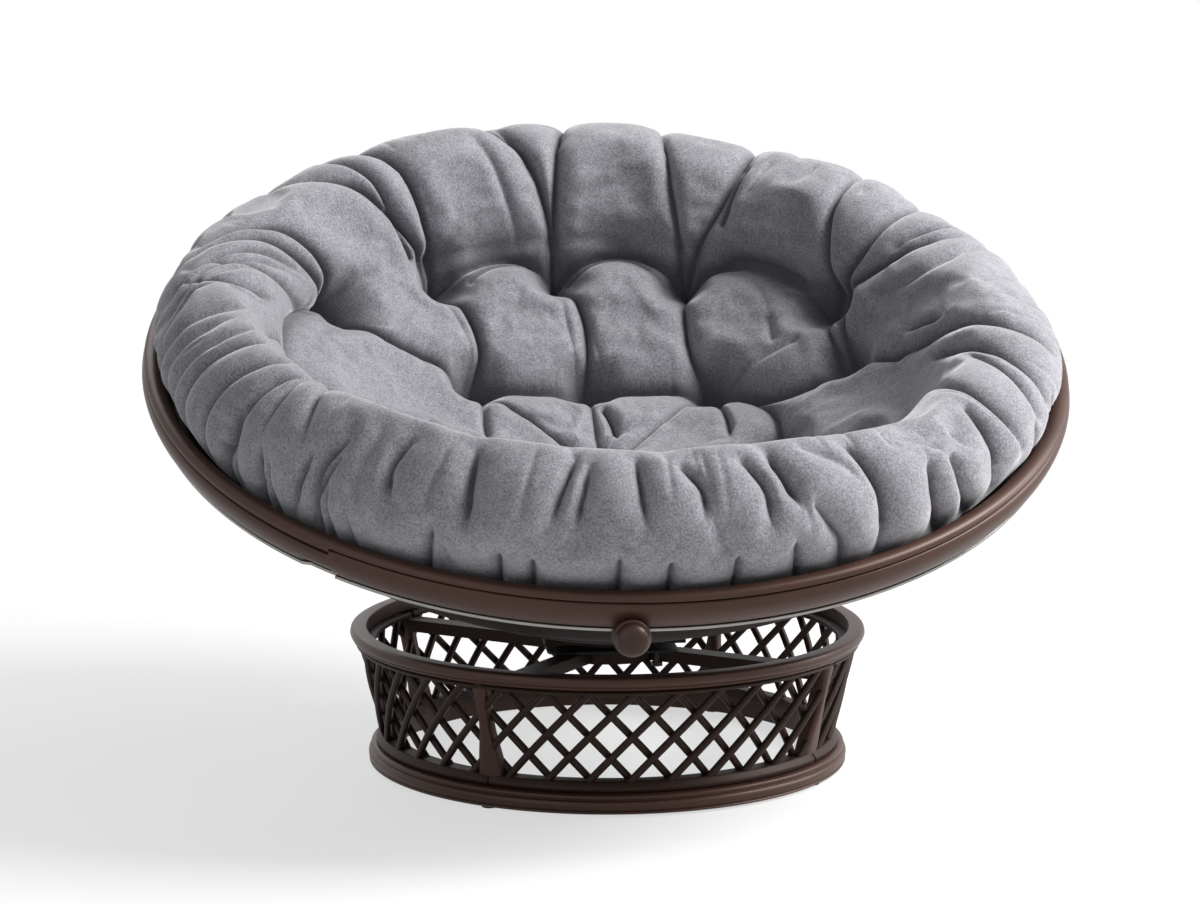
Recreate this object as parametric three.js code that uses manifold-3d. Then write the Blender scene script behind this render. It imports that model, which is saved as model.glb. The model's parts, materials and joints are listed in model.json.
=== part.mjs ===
// Papasan chair: a tilted bowl with a tufted cushion, turning on a lattice drum base.
// Millimetres, +Z up, the bowl faces -Y, the origin is on the floor under the swivel axis.
import * as THREE from 'three';
import { mergeVertices } from 'three/addons/utils/BufferGeometryUtils.js';
import Module from 'manifold-3d';

const wasm = await Module();
wasm.setup();

// Driving dimensions
const gap = 0.3;                 // clearance between pieces that touch
const overrun = 30;              // how far a cutting shape runs past what it cuts
const bite = 3;                  // how far a rod runs into the rail it is welded to

// Bowl as a whole
const bowlTilt = 21.5;           // degrees, rim plane tipped towards the sitter's feet
const bowlShift = 8.55;          // rim centre along Y from the swivel axis
const rimRadius = 530;           // outside of the rim band
const dishRadius = 672.5;        // outside of the spherical dish
const dishRise = 68.5;           // bottom of the dish above the drum

// Rim
const bandWidth = 26;
const bandTop = 11;              // groove under the bead, above the rim plane
const bandHeight = 37;
const beadWidth = 20;
const beadHeight = 9;
const beadInset = 2;             // bead set in from the band's outside
const lipWidth = 7;
const lipHeight = 5;
const lipInset = 13;
const hoopRod = 8;               // radius of the steel hoop inside the rim

// Dish frame
const skirtThickness = 3.2;
const skirtWidth = 118.7;        // between the radii of the skirt's two edges
const skirtDrop = 24.1;          // top edge of the skirt below the rim plane
const ribCount = 12;
const ribHalf = 8.7;             // half the depth of a rib
const ribHalfWidth = 7;
const ribStart = 54;             // radius where a rib begins at the hub
const hubReach = 205;
const hubThickness = 4;
const discRadius = 48;
const middleHoopRod = 7;

// Hand screw on the rim's lug
const lugRadius = 22;
const lugTurn = -2.4;            // degrees round the rim from the front to the lug
const lugDrop = 36;              // lug centre below the rim band's centre, measured upright
const lugFront = 2;              // lug face ahead of the band's front
const knobRadius = 18;
const knobHeight = 13;
const knobNeck = 11;
const knobNeckHeight = 3;
const studRadius = 4;

// Base drum
const glideRadius = 9;
const glideThickness = 2;
const topRingRadius = 298;
const topRingWidth = 19;
const topRingHeight = 16.3;
const topRingLevel = 160;        // top face of the drum above the floor
const bottomRingRadius = 277.5;
const bottomRingWidth = 26;
const bottomRingHeight = 22;
const railLip = 4;               // rail stands this far outside the strands
const railInner = 2;             // and this far inside them
const topRailHeight = 6;
const bottomRailHeight = 12;
const wallTopInset = 10;         // lattice inside the top ring's edge
const wallBottomInset = 12.5;    // lattice inside the bottom ring's edge
const strandRadius = 4.3;
const strandCount = 36;          // strands leaning each way
const strandCells = 2;           // diamonds that one strand passes

// Posts
const postCount = 4;
const postTurn = -35;            // degrees from the front to the first post
const postProud = 0.8;           // post stands this far outside and inside the strands
const postFoot = 32;
const postNeck = 12;
const postHead = 22;

// Cross frame and swivel
const armWidth = 24;
const armHeight = 14;
const hubRadius = 66;
const plateSide = 150;
const plateThickness = 3;
const plateCorner = 14;
const raceOuter = 56;
const raceInner = 40;
const raceHeight = 8.4;
const rivetRadius = 10;
const rivetBore = 6;
const rivetHead = 15;
const rivetHeadHeight = 2;
const boltRadius = 4;
const boltHead = 7;
const boltHeadHeight = 4.5;
const boltPitch = 52;            // bolts from the axis, along X and along Y

// Tilt frame under the bowl
const cheekThickness = 5;
const cheekSpread = 78;          // cheek centre from the middle
const cheekFront = 92;
const cheekBack = 92;
const cheekFrontFlare = 14;
const cheekBackFlare = 62;
const flangeThickness = 4;
const webThickness = 4;

// Cushion
const padGap = 1.1;              // cushion bottom above the ribs
const bellyInset = 17;           // widest part of the cushion inside the rim's outside
const edgeTuck = 10;             // cushion edge inside the band, at the rim plane
const cushionBelly = 42;         // widest level of the outer roll above the rim plane
const crestInset = 81;           // crest of the outer roll inside the cushion's widest part
const rollHeight = 96;           // mean crest above the rim plane
const slumpTurn = -40;           // degrees from the front to the fullest side of the roll
const rollSlump = 15;            // crest is higher at the front and lower at the back by this
const seatThickness = 90;
const rollRiseShare = 0.62;
const rollShoulderShare = 0.35;
const tuftInset = 87;            // outer tufts inside the crest of the roll
const tuftPitch = 133;           // inner tufts inside the outer ones
const outerTufts = 12;
const innerTufts = 8;
const tuftDepth = 46;
const tuftSpread = 34;
const pleatDepth = 15;

// Finishes
const bronze = new THREE.MeshStandardMaterial({ color: 0x4a352c, roughness: 0.42, metalness: 0.35 });
const bronzeDark = new THREE.MeshStandardMaterial({ color: 0x2c201b, roughness: 0.5, metalness: 0.3 });
const lipMetal = new THREE.MeshStandardMaterial({ color: 0x77716c, roughness: 0.35, metalness: 0.8 });
const steel = new THREE.MeshStandardMaterial({ color: 0x8b8d90, roughness: 0.4, metalness: 0.9 });
const blackSteel = new THREE.MeshStandardMaterial({ color: 0x242322, roughness: 0.5, metalness: 0.5 });
const rubber = new THREE.MeshStandardMaterial({ color: 0x1b1b1c, roughness: 0.85, metalness: 0 });
const suede = new THREE.MeshStandardMaterial({ color: 0x8e8c95, roughness: 0.95, metalness: 0 });

const chair = new THREE.Group();
chair.name = 'papasan_chair';
const rad = THREE.MathUtils.degToRad;
const tilt = rad(bowlTilt);
const turn = 2 * Math.PI;

// The dish is a sphere through the skirt's top edge, with its centre above the rim on the bowl's axis
const skirtTopRadius = rimRadius - bandWidth - gap;
const skirtReach = skirtTopRadius - skirtWidth;
const middleHoopRadius = (hubReach + skirtReach) / 2;
const dishCentre = Math.sqrt(dishRadius ** 2 - skirtTopRadius ** 2) - skirtDrop;
const dishDepth = dishRadius - dishCentre;
const sphereDrop = (sphere, radius) => dishCentre - Math.sqrt(sphere ** 2 - radius ** 2);
const rimHeight = topRingLevel + dishRise + dishDepth * Math.cos(tilt);

// A bowl group carries everything that is laid out about the rim's own axis
const bowlFrame = new THREE.Group();
bowlFrame.position.set(0, bowlShift, rimHeight);
bowlFrame.rotation.x = tilt;
bowlFrame.updateMatrixWorld(true);
chair.add(bowlFrame);

const solid = (geometry) => {
  const bare = geometry.clone();
  bare.deleteAttribute('normal');
  bare.deleteAttribute('uv');
  return mergeVertices(bare);
};

// Winding is turned round where a section was drawn the other way
const facingOut = (geometry) => {
  const closed = solid(geometry);
  const at = closed.attributes.position;
  const index = closed.index.array;
  const [a, b, c] = [new THREE.Vector3(), new THREE.Vector3(), new THREE.Vector3()];
  let volume = 0;
  for (let i = 0; i < index.length; i += 3) {
    a.fromBufferAttribute(at, index[i]);
    b.fromBufferAttribute(at, index[i + 1]);
    c.fromBufferAttribute(at, index[i + 2]);
    volume += a.dot(b.cross(c));
  }
  if (volume < 0) {
    for (let i = 0; i < index.length; i += 3) {
      [index[i + 1], index[i + 2]] = [index[i + 2], index[i + 1]];
    }
  }
  return closed;
};

const toManifold = (geometry) => {
  const closed = facingOut(geometry);
  return new wasm.Manifold(new wasm.Mesh({
    numProp: 3,
    vertProperties: new Float32Array(closed.attributes.position.array),
    triVerts: new Uint32Array(closed.index.array),
  }));
};

const fromManifold = (manifold) => {
  const { vertProperties, triVerts } = manifold.getMesh();
  const geometry = new THREE.BufferGeometry();
  geometry.setAttribute('position', new THREE.BufferAttribute(vertProperties, 3));
  geometry.setIndex(new THREE.BufferAttribute(triVerts, 1));
  return geometry;
};

const place = (name, geometry, material, parent = chair) => {
  const mesh = new THREE.Mesh(facingOut(geometry), material);
  mesh.name = name;
  parent.add(mesh);
  return mesh;
};

// A ring is a closed section turned about Z
const ringSides = 56;
const turned = (points, sides = ringSides) => (
  new THREE.LatheGeometry([...points, points[0].clone()], sides).rotateX(Math.PI / 2)
);

// A disc, dome or pin is an open section that starts and ends on the axis
const spun = (points, sides) => new THREE.LatheGeometry(points, sides).rotateX(Math.PI / 2);

const sectionAt = (shares, inner, bottom, width, height) => (
  shares.map(([u, v]) => new THREE.Vector2(inner + u * width, bottom + v * height))
);

const circleAt = (radius, height, rod, sides) => {
  const points = [];
  for (let i = 0; i < sides; i += 1) {
    const angle = turn * i / sides;
    points.push(new THREE.Vector2(radius + rod * Math.cos(angle), height + rod * Math.sin(angle)));
  }
  return points;
};

const cylinderAt = (radius, bottom, top, sides) => (
  new THREE.CylinderGeometry(radius, radius, top - bottom, sides)
    .rotateX(Math.PI / 2).translate(0, 0, (top + bottom) / 2)
);

const boxAt = (width, depth, bottom, top) => (
  new THREE.BoxGeometry(width, depth, top - bottom).translate(0, 0, (top + bottom) / 2)
);

// Base rings, turned mouldings of the drum
const baseSides = 48;
const bottomRingBase = glideThickness + gap;
const bottomRingTop = bottomRingBase + bottomRingHeight;
const bottomRailTop = bottomRingTop + gap + bottomRailHeight;
const topRingBase = topRingLevel - topRingHeight;
const topRailBase = topRingBase - gap - topRailHeight;

const bottomRingShares = [
  [0, 0], [0.88, 0], [1, 0.24], [1, 0.6], [0.86, 0.94], [0.7, 1], [0, 1],
];
const topRingShares = [
  [0, 0], [0.66, 0], [0.94, 0.26], [1, 0.56], [0.92, 0.88], [0.76, 1], [0, 1],
];
place('bottom_ring', turned(sectionAt(bottomRingShares, bottomRingRadius - bottomRingWidth,
  bottomRingBase, bottomRingWidth, bottomRingHeight), baseSides), bronze);
place('top_ring', turned(sectionAt(topRingShares, topRingRadius - topRingWidth,
  topRingBase, topRingWidth, topRingHeight), baseSides), bronze);

// Glides under the bottom ring, one below each post
const postAngles = [];
for (let i = 0; i < postCount; i += 1) {
  postAngles.push(rad(postTurn) + turn * i / postCount);
}
const glideCircle = bottomRingRadius - bottomRingWidth / 2;
const glideSides = 20;
postAngles.forEach((angle, i) => {
  const glide = cylinderAt(glideRadius, 0, glideThickness, glideSides);
  glide.translate(glideCircle * Math.sin(angle), -glideCircle * Math.cos(angle), 0);
  place(`glide_${i + 1}`, glide, rubber);
});

// Posts: a flared foot, a slim neck and a spreading head, leaning with the conical wall
const wallTopRadius = topRingRadius - wallTopInset;
const wallBottomRadius = bottomRingRadius - wallBottomInset;
const wallSpan = topRailBase - bottomRailTop;
const wallRadiusAt = (z) => (
  wallBottomRadius + (wallTopRadius - wallBottomRadius) * (z - bottomRailTop) / wallSpan
);
const wallLean = Math.atan2(wallTopRadius - wallBottomRadius, wallSpan);
const postBase = bottomRingTop + gap;
const postTop = topRingBase - gap;
const postMiddle = (postBase + postTop) / 2;
const layerStep = 2 * strandRadius + gap;
const wallDepth = strandRadius * 2 + layerStep;
const postDepth = wallDepth + 2 * postProud;
const postRadiusAt = (z) => wallRadiusAt(z) - strandRadius - layerStep / 2;
const postWidthShares = [[0, 1], [0.12, 0.94], [0.28, 0.66], [0.44, 0.28], [0.58, 0],
  [0.74, 0.04], [0.88, 0.4], [1, 1]];
const postNeckShare = 0.6;

const postOutline = (grow, rise) => {
  const height = (postTop - postBase + 2 * rise) / Math.cos(wallLean);
  const side = postWidthShares.map(([level, spread]) => {
    const widest = level < postNeckShare ? postFoot : postHead;
    const half = (postNeck + (widest - postNeck) * spread) / 2;
    return new THREE.Vector2(half + grow, (level - 1 / 2) * height);
  });
  const other = side.map((p) => new THREE.Vector2(-p.x, p.y)).reverse();
  return new THREE.Shape([...side, ...other]);
};

const postSolid = (angle, grow, rise, depth) => {
  const plate = new THREE.ExtrudeGeometry(postOutline(grow, rise), { depth, bevelEnabled: false });
  plate.translate(0, 0, -depth / 2);
  plate.rotateX(Math.PI / 2 + wallLean);
  plate.translate(0, -postRadiusAt(postMiddle), postMiddle);
  plate.rotateZ(angle);
  return plate;
};

const clipBelow = (manifold, level, reach) => (
  manifold.subtract(toManifold(boxAt(2 * reach, 2 * reach, level, level + reach)))
);
const clipAbove = (manifold, level, reach) => (
  manifold.subtract(toManifold(boxAt(2 * reach, 2 * reach, level - reach, level)))
);

postAngles.forEach((angle, i) => {
  let post = toManifold(postSolid(angle, 0, bite, postDepth));
  post = clipBelow(post, postTop, topRingRadius * 2);
  post = clipAbove(post, postBase, topRingRadius * 2);
  place(`base_post_${i + 1}`, fromManifold(post), bronze);
});

// Lattice wall: rods leaning one way outside, rods leaning the other way inside,
// welded into a top and a bottom rail and cut into four panels by the posts
const strandSides = 4;
const strandSteps = 2;
const strandSweep = strandCells * turn / strandCount;
const strandSection = () => {
  const shape = new THREE.Shape();
  for (let i = 0; i < strandSides; i += 1) {
    const angle = turn * i / strandSides;
    const [x, y] = [strandRadius * Math.cos(angle), strandRadius * Math.sin(angle)];
    if (i === 0) shape.moveTo(x, y);
    else shape.lineTo(x, y);
  }
  shape.closePath();
  return shape;
};

const strandAt = (middleAngle, lean, inset) => {
  const from = bottomRailTop - bite;
  const to = topRailBase + bite;
  const points = [];
  for (let i = 0; i <= strandSteps; i += 1) {
    const z = from + (to - from) * i / strandSteps;
    const angle = middleAngle + lean * strandSweep * ((z - bottomRailTop) / wallSpan - 1 / 2);
    const radius = wallRadiusAt(z) - inset;
    points.push(new THREE.Vector3(radius * Math.sin(angle), -radius * Math.cos(angle), z));
  }
  return new THREE.ExtrudeGeometry(strandSection(), {
    steps: strandSteps, bevelEnabled: false, extrudePath: new THREE.CatmullRomCurve3(points),
  });
};

const railSides = 48;
const topRailShares = [[0, 0], [0.86, 0], [1, 0.5], [0.86, 1], [0, 1]];
const bottomRailShares = [[0, 0], [0.94, 0], [1, 0.4], [0.8, 1], [0, 1]];
const railWidth = wallDepth + railInner + railLip;
const topRail = turned(sectionAt(topRailShares, wallTopRadius - wallDepth - railInner,
  topRailBase, railWidth, topRailHeight), railSides);
const bottomRail = turned(sectionAt(bottomRailShares, wallBottomRadius - wallDepth - railInner,
  bottomRingTop + gap, railWidth, bottomRailHeight), railSides);

const wallParts = [toManifold(topRail), toManifold(bottomRail)];
for (let i = 0; i < strandCount; i += 1) {
  const angle = turn * i / strandCount;
  wallParts.push(toManifold(strandAt(angle, 1, strandRadius)));
  wallParts.push(toManifold(strandAt(angle, -1, strandRadius + layerStep)));
}
let wall = wasm.Manifold.union(wallParts);
postAngles.forEach((angle) => {
  wall = wall.subtract(toManifold(postSolid(angle, gap, bite, postDepth + 2 * overrun)));
});

// The posts cut the wall into panels and a few loose offcuts, which are left out
const angleOf = (manifold) => {
  const { min, max } = manifold.boundingBox();
  return Math.atan2(min[0] + max[0], -(min[1] + max[1]));
};
const angleBetween = (a, b) => Math.abs(Math.atan2(Math.sin(a - b), Math.cos(a - b)));
const panels = wall.decompose().sort((a, b) => b.volume() - a.volume()).slice(0, postCount);
postAngles.forEach((angle, i) => {
  const middle = angle + turn / postCount / 2;
  const panel = panels.reduce((best, one) => (
    angleBetween(angleOf(one), middle) < angleBetween(angleOf(best), middle) ? one : best
  ));
  place(`lattice_panel_${i + 1}`, fromManifold(panel), bronzeDark);
});

// Cross frame: four arms from the posts' heads to a round hub under the swivel
const armTop = topRailBase - gap;
const armBase = armTop - armHeight;
const plateBase = armTop + gap;
const plateTop = plateBase + plateThickness;
const raceBase = plateTop + gap;
const raceTop = raceBase + raceHeight;
const upperBase = raceTop + gap;
const upperTop = upperBase + plateThickness;
const flangeBase = upperTop + gap;
const flangeTop = flangeBase + flangeThickness;
const roundSides = 18;
const boltSides = 8;
const boltPlaces = [[1, 1], [-1, 1], [-1, -1], [1, -1]];

const holesAt = (radius, bottom, top, centreRadius) => {
  const holes = boltPlaces.map(([x, y]) => (
    toManifold(cylinderAt(radius, bottom - overrun, top + overrun, boltSides)
      .translate(x * boltPitch, y * boltPitch, 0))
  ));
  holes.push(toManifold(cylinderAt(centreRadius, bottom - overrun, top + overrun, roundSides)));
  return wasm.Manifold.union(holes);
};

const plateOutline = () => {
  const shape = new THREE.Shape();
  const [reach, straight] = [plateSide / 2, plateSide / 2 - plateCorner];
  shape.moveTo(straight, -reach);
  shape.absarc(straight, -straight, plateCorner, -Math.PI / 2, 0);
  shape.absarc(straight, straight, plateCorner, 0, Math.PI / 2);
  shape.absarc(-straight, straight, plateCorner, Math.PI / 2, Math.PI);
  shape.absarc(-straight, -straight, plateCorner, Math.PI, Math.PI * 3 / 2);
  return shape;
};
const plateAt = (bottom, top) => new THREE.ExtrudeGeometry(plateOutline(),
  { depth: top - bottom, bevelEnabled: false, curveSegments: 3 }).translate(0, 0, bottom);

const crossParts = [toManifold(cylinderAt(hubRadius, armBase, armTop, roundSides))];
const armMiddle = (armBase + armTop) / 2;
const armReach = postRadiusAt(armMiddle);
postAngles.forEach((angle) => {
  const arm = new THREE.BoxGeometry(armWidth, armReach, armHeight);
  arm.translate(0, -armReach / 2, armMiddle);
  arm.rotateZ(angle);
  crossParts.push(toManifold(arm));
});
const boltHole = boltRadius + gap;
let cross = wasm.Manifold.union(crossParts);
cross = cross.subtract(holesAt(boltHole, armBase, armTop, rivetRadius + gap));
postAngles.forEach((angle) => {
  cross = cross.subtract(toManifold(postSolid(angle, overrun, bite, postDepth + 2 * gap)));
});
place('cross_frame', fromManifold(cross), bronzeDark);

// Swivel: a plate bolted to the hub, a ball race, a plate under the bowl, one hollow rivet
const lowerPlate = toManifold(plateAt(plateBase, plateTop))
  .subtract(holesAt(boltHole, plateBase, plateTop, rivetRadius + gap));
place('swivel_lower_plate', fromManifold(lowerPlate), blackSteel);

const raceShares = [[0, 0], [1, 0], [1, 1], [0, 1]];
place('ball_race', turned(sectionAt(raceShares, raceInner, raceBase, raceOuter - raceInner,
  raceHeight), roundSides), steel);

const upperPlate = toManifold(plateAt(upperBase, upperTop))
  .subtract(holesAt(boltHole, upperBase, upperTop, rivetRadius + gap));
place('swivel_upper_plate', fromManifold(upperPlate), blackSteel);

const rivetFoot = armBase - gap;
const rivetCap = upperTop + gap;
place('swivel_rivet', turned([
  new THREE.Vector2(rivetBore, rivetFoot - rivetHeadHeight),
  new THREE.Vector2(rivetHead, rivetFoot - rivetHeadHeight),
  new THREE.Vector2(rivetHead, rivetFoot),
  new THREE.Vector2(rivetRadius, rivetFoot),
  new THREE.Vector2(rivetRadius, rivetCap),
  new THREE.Vector2(rivetHead, rivetCap),
  new THREE.Vector2(rivetHead, rivetCap + rivetHeadHeight),
  new THREE.Vector2(rivetBore, rivetCap + rivetHeadHeight),
], roundSides), steel);

// Bolts: a hexagon head and a plain shank
const hexSides = 6;
const boltAt = (length) => {
  const shank = toManifold(cylinderAt(boltRadius, -length, boltHeadHeight / 2, boltSides));
  return fromManifold(shank.add(toManifold(cylinderAt(boltHead, 0, boltHeadHeight, hexSides))));
};
const seatLow = armBase - gap;
const seatHigh = flangeTop + gap;
boltPlaces.forEach(([x, y], i) => {
  const lower = boltAt(plateTop - seatLow).rotateX(Math.PI);
  place(`swivel_bolt_${i + 1}`, lower.translate(x * boltPitch, y * boltPitch, seatLow), steel);
  const upper = boltAt(seatHigh - upperBase);
  place(`tilt_bolt_${i + 1}`, upper.translate(x * boltPitch, y * boltPitch, seatHigh), steel);
});

// Dish sphere as seen from the base
const sphereMiddle = new THREE.Vector3(0, 0, dishCentre).applyMatrix4(bowlFrame.matrixWorld);
const ballSides = 96;
const ballRows = 64;
const dishBall = (radius) => new THREE.SphereGeometry(radius, ballSides, ballRows);
const facetShare = 1 / Math.cos(Math.PI / ballRows);

const hubInner = dishRadius - hubThickness;
const skirtInner = dishRadius - skirtThickness;
const hubSteps = 3;
const hubSides = 36;
const skirtSteps = 3;
const sagOf = (reach, arc, steps, sides) => (
  dishRadius * (1 - Math.cos(arc / steps / 2))
  + reach * (1 - Math.cos(Math.PI / sides)) * reach / dishRadius
);
const skirtArc = Math.asin(skirtTopRadius / dishRadius) - Math.asin(skirtReach / dishRadius);
const hubSag = sagOf(hubReach, Math.asin(hubReach / dishRadius), hubSteps, hubSides);
const skirtSag = sagOf(skirtTopRadius, skirtArc, skirtSteps, ringSides);
const ribOuter = Math.min(hubInner - hubSag, skirtInner - skirtSag) - gap;
const ribCentre = ribOuter - ribHalf;
const padSphere = ribCentre - ribHalf - padGap;

// Tilt frame: two cheeks cut to the dish's curve, two webs and a flange that is bolted down
const cheekArc = Math.sqrt((dishRadius + gap) ** 2 - (cheekSpread + cheekThickness / 2) ** 2);
const cheekTopAt = (y) => sphereMiddle.z - Math.sqrt(cheekArc ** 2 - (y - sphereMiddle.y) ** 2);
const arcAngle = (y) => Math.atan2(cheekTopAt(y) - sphereMiddle.z, y - sphereMiddle.y);
const cheekShape = new THREE.Shape();
cheekShape.moveTo(-cheekFront, flangeBase);
cheekShape.lineTo(cheekBack, flangeBase);
cheekShape.lineTo(cheekBack, flangeTop + flangeThickness);
cheekShape.lineTo(cheekBack + cheekBackFlare, cheekTopAt(cheekBack + cheekBackFlare));
cheekShape.absarc(sphereMiddle.y, sphereMiddle.z, cheekArc, arcAngle(cheekBack + cheekBackFlare),
  arcAngle(-cheekFront - cheekFrontFlare), true);
cheekShape.lineTo(-cheekFront, flangeTop + flangeThickness);
cheekShape.closePath();
const cheekSteps = 14;
const cheekAt = (side) => {
  const plate = new THREE.ExtrudeGeometry(cheekShape,
    { depth: cheekThickness, bevelEnabled: false, curveSegments: cheekSteps });
  const stand = new THREE.Matrix4().makeBasis(new THREE.Vector3(0, 1, 0),
    new THREE.Vector3(0, 0, 1), new THREE.Vector3(1, 0, 0));
  plate.applyMatrix4(stand);
  return plate.translate(side * cheekSpread - cheekThickness / 2, 0, 0);
};
const webAt = (y) => (
  boxAt(2 * cheekSpread, webThickness, flangeBase, cheekTopAt(y)).translate(0, y, 0)
);
const frameParts = [
  toManifold(cheekAt(1)),
  toManifold(cheekAt(-1)),
  toManifold(webAt(-cheekFront + webThickness)),
  toManifold(webAt(cheekBack - webThickness)),
  toManifold(boxAt(2 * cheekSpread, cheekFront + cheekBack, flangeBase, flangeTop)
    .translate(0, (cheekBack - cheekFront) / 2, 0)),
];
const ballCut = toManifold(dishBall((dishRadius + gap) * facetShare)
  .rotateX(Math.PI / 2).translate(0, sphereMiddle.y, sphereMiddle.z));
const tiltFrame = wasm.Manifold.union(frameParts)
  .subtract(holesAt(boltHole, flangeBase, flangeTop, rivetHead + gap))
  .subtract(ballCut);
place('tilt_frame', fromManifold(tiltFrame), bronzeDark);

// Spherical shells of the dish: the hub plate and the skirt
const shellSection = (outer, inner, from, to, steps) => {
  const points = [];
  for (let i = 0; i <= steps; i += 1) {
    const radius = from + (to - from) * i / steps;
    points.push(new THREE.Vector2(radius, sphereDrop(outer, radius)));
  }
  for (let i = steps; i >= 0; i -= 1) {
    const radius = from + (to - from) * i / steps;
    points.push(new THREE.Vector2(radius, sphereDrop(inner, radius)));
  }
  return points;
};
place('hub_dish', spun(shellSection(dishRadius, hubInner, 0, hubReach, hubSteps), hubSides),
  bronzeDark, bowlFrame);
place('dish_skirt', turned(shellSection(dishRadius, skirtInner, skirtReach, skirtTopRadius,
  skirtSteps)), bronzeDark, bowlFrame);

// Ribs: bent rods from the hub to the rim hoop, one mesh each
const hoopRadius = rimRadius - bandWidth - gap - hoopRod;
const hoopLevel = sphereDrop(skirtInner - skirtSag - gap - hoopRod, hoopRadius);
const arcOf = (radius, level) => Math.atan2(radius, dishCentre - level);
const ribFrom = Math.asin(ribStart / ribCentre);
const ribTo = arcOf(hoopRadius, hoopLevel) - (hoopRod + gap) / ribCentre;
const ribSides = 6;
const ribSteps = 7;
const ribSection = () => {
  const shape = new THREE.Shape();
  for (let i = 0; i < ribSides; i += 1) {
    const angle = turn * i / ribSides;
    const [x, y] = [ribHalfWidth * Math.sin(angle), ribHalf * Math.cos(angle)];
    if (i === 0) shape.moveTo(x, y);
    else shape.lineTo(x, y);
  }
  shape.closePath();
  return shape;
};
const ribAt = (angle) => {
  const flat = new THREE.ExtrudeGeometry(ribSection(),
    { steps: ribSteps, depth: 1, bevelEnabled: false });
  const at = flat.attributes.position;
  const p = new THREE.Vector3();
  for (let i = 0; i < at.count; i += 1) {
    p.fromBufferAttribute(at, i);
    const along = ribFrom + (ribTo - ribFrom) * p.z;
    const sphere = ribCentre - p.y;
    const [out, down] = [sphere * Math.sin(along), dishCentre - sphere * Math.cos(along)];
    at.setXYZ(i, out * Math.sin(angle) + p.x * Math.cos(angle),
      -out * Math.cos(angle) + p.x * Math.sin(angle), down);
  }
  return flat;
};
for (let i = 0; i < ribCount; i += 1) {
  const angle = turn * (i + 1 / 2) / ribCount;
  place(`dish_rib_${i + 1}`, ribAt(angle), bronzeDark, bowlFrame);
}

// Hub disc between the ribs' inner ends, and the hoops
const discSides = 24;
place('hub_disc', spun([
  new THREE.Vector2(0, sphereDrop(ribOuter, 0)),
  new THREE.Vector2(discRadius, sphereDrop(ribOuter, discRadius)),
  new THREE.Vector2(discRadius, sphereDrop(padSphere + padGap, discRadius)),
  new THREE.Vector2(0, sphereDrop(padSphere + padGap, 0)),
], discSides), bronzeDark, bowlFrame);
const hoopSides = 6;
const ribStep = (ribTo - ribFrom) / ribSteps;
const hoopStep = (Math.asin(middleHoopRadius / ribOuter) - ribFrom) / ribStep;
const ribFace = ribOuter * Math.cos(ribStep / 2)
  / Math.cos((hoopStep - Math.floor(hoopStep) - 1 / 2) * ribStep);
const middleSphere = ribFace + gap + middleHoopRod;
place('middle_hoop', turned(circleAt(middleHoopRadius, sphereDrop(middleSphere, middleHoopRadius),
  middleHoopRod, hoopSides), baseSides), bronzeDark, bowlFrame);
place('rim_hoop', turned(circleAt(hoopRadius, hoopLevel, hoopRod * Math.cos(Math.PI / ringSides),
  hoopSides)), bronzeDark, bowlFrame);

// Rim band with the lug that carries the hand screw
const bandShares = [
  [0, 0], [0.3, 0], [0.58, 0.1], [0.85, 0.38], [1, 0.7], [0.95, 0.9], [0.88, 1], [0, 1],
];
const bandBase = bandTop - bandHeight;
const band = turned(sectionAt(bandShares, rimRadius - bandWidth, bandBase, bandWidth, bandHeight));
const bandFront = new THREE.Vector3(0, -rimRadius, 0).applyMatrix4(bowlFrame.matrixWorld);
const lugLevel = bandFront.z - lugDrop + bandTop;
const lugFace = bandFront.y - lugFront;
const lugLength = bandWidth + lugFront + 2 * lipInset;
const lugSides = 22;
const alongY = (radius, from, to, sides) => (
  cylinderAt(radius, -to, -from, sides).rotateX(Math.PI / 2).translate(0, 0, lugLevel)
);
const intoBowl = bowlFrame.matrixWorld.clone().invert();
const intoLug = new THREE.Matrix4().makeRotationZ(rad(lugTurn)).multiply(intoBowl);
const bowlBall = (radius) => toManifold(dishBall(radius * facetShare)
  .rotateX(Math.PI / 2).translate(0, 0, dishCentre));
const lugBlank = alongY(lugRadius, lugFace, lugFace + lugLength, lugSides).applyMatrix4(intoLug);
const studBore = alongY(studRadius + gap, lugFace - overrun, lugFace + lugLength + overrun, roundSides)
  .applyMatrix4(intoLug);
const insideBand = toManifold(cylinderAt(rimRadius - bandWidth, -overrun, overrun, ringSides));
const lug = toManifold(lugBlank).subtract(bowlBall(dishRadius + gap)).subtract(insideBand);
const bandWithLug = toManifold(band).add(lug).subtract(toManifold(studBore));
place('rim_band', fromManifold(bandWithLug), bronze, bowlFrame);

const beadShares = [[0, 0], [0.95, 0], [1, 0.35], [0.82, 0.85], [0.45, 1], [0.08, 0.6]];
place('rim_bead', turned(sectionAt(beadShares, rimRadius - beadInset - beadWidth, bandTop + gap,
  beadWidth, beadHeight)), bronze, bowlFrame);

const lipShares = [[0, 0.2], [0.5, 0], [1, 0.35], [0.95, 1], [0, 1]];
const lipRing = turned(sectionAt(lipShares, rimRadius - lipInset - lipWidth,
  bandBase - gap - lipHeight, lipWidth, lipHeight));
const lugCut = alongY(lugRadius + gap, lugFace - overrun, lugFace + lugLength + overrun, lugSides)
  .applyMatrix4(intoLug);
place('rim_lip', fromManifold(toManifold(lipRing).subtract(toManifold(lugCut))), lipMetal, bowlFrame);

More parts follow.
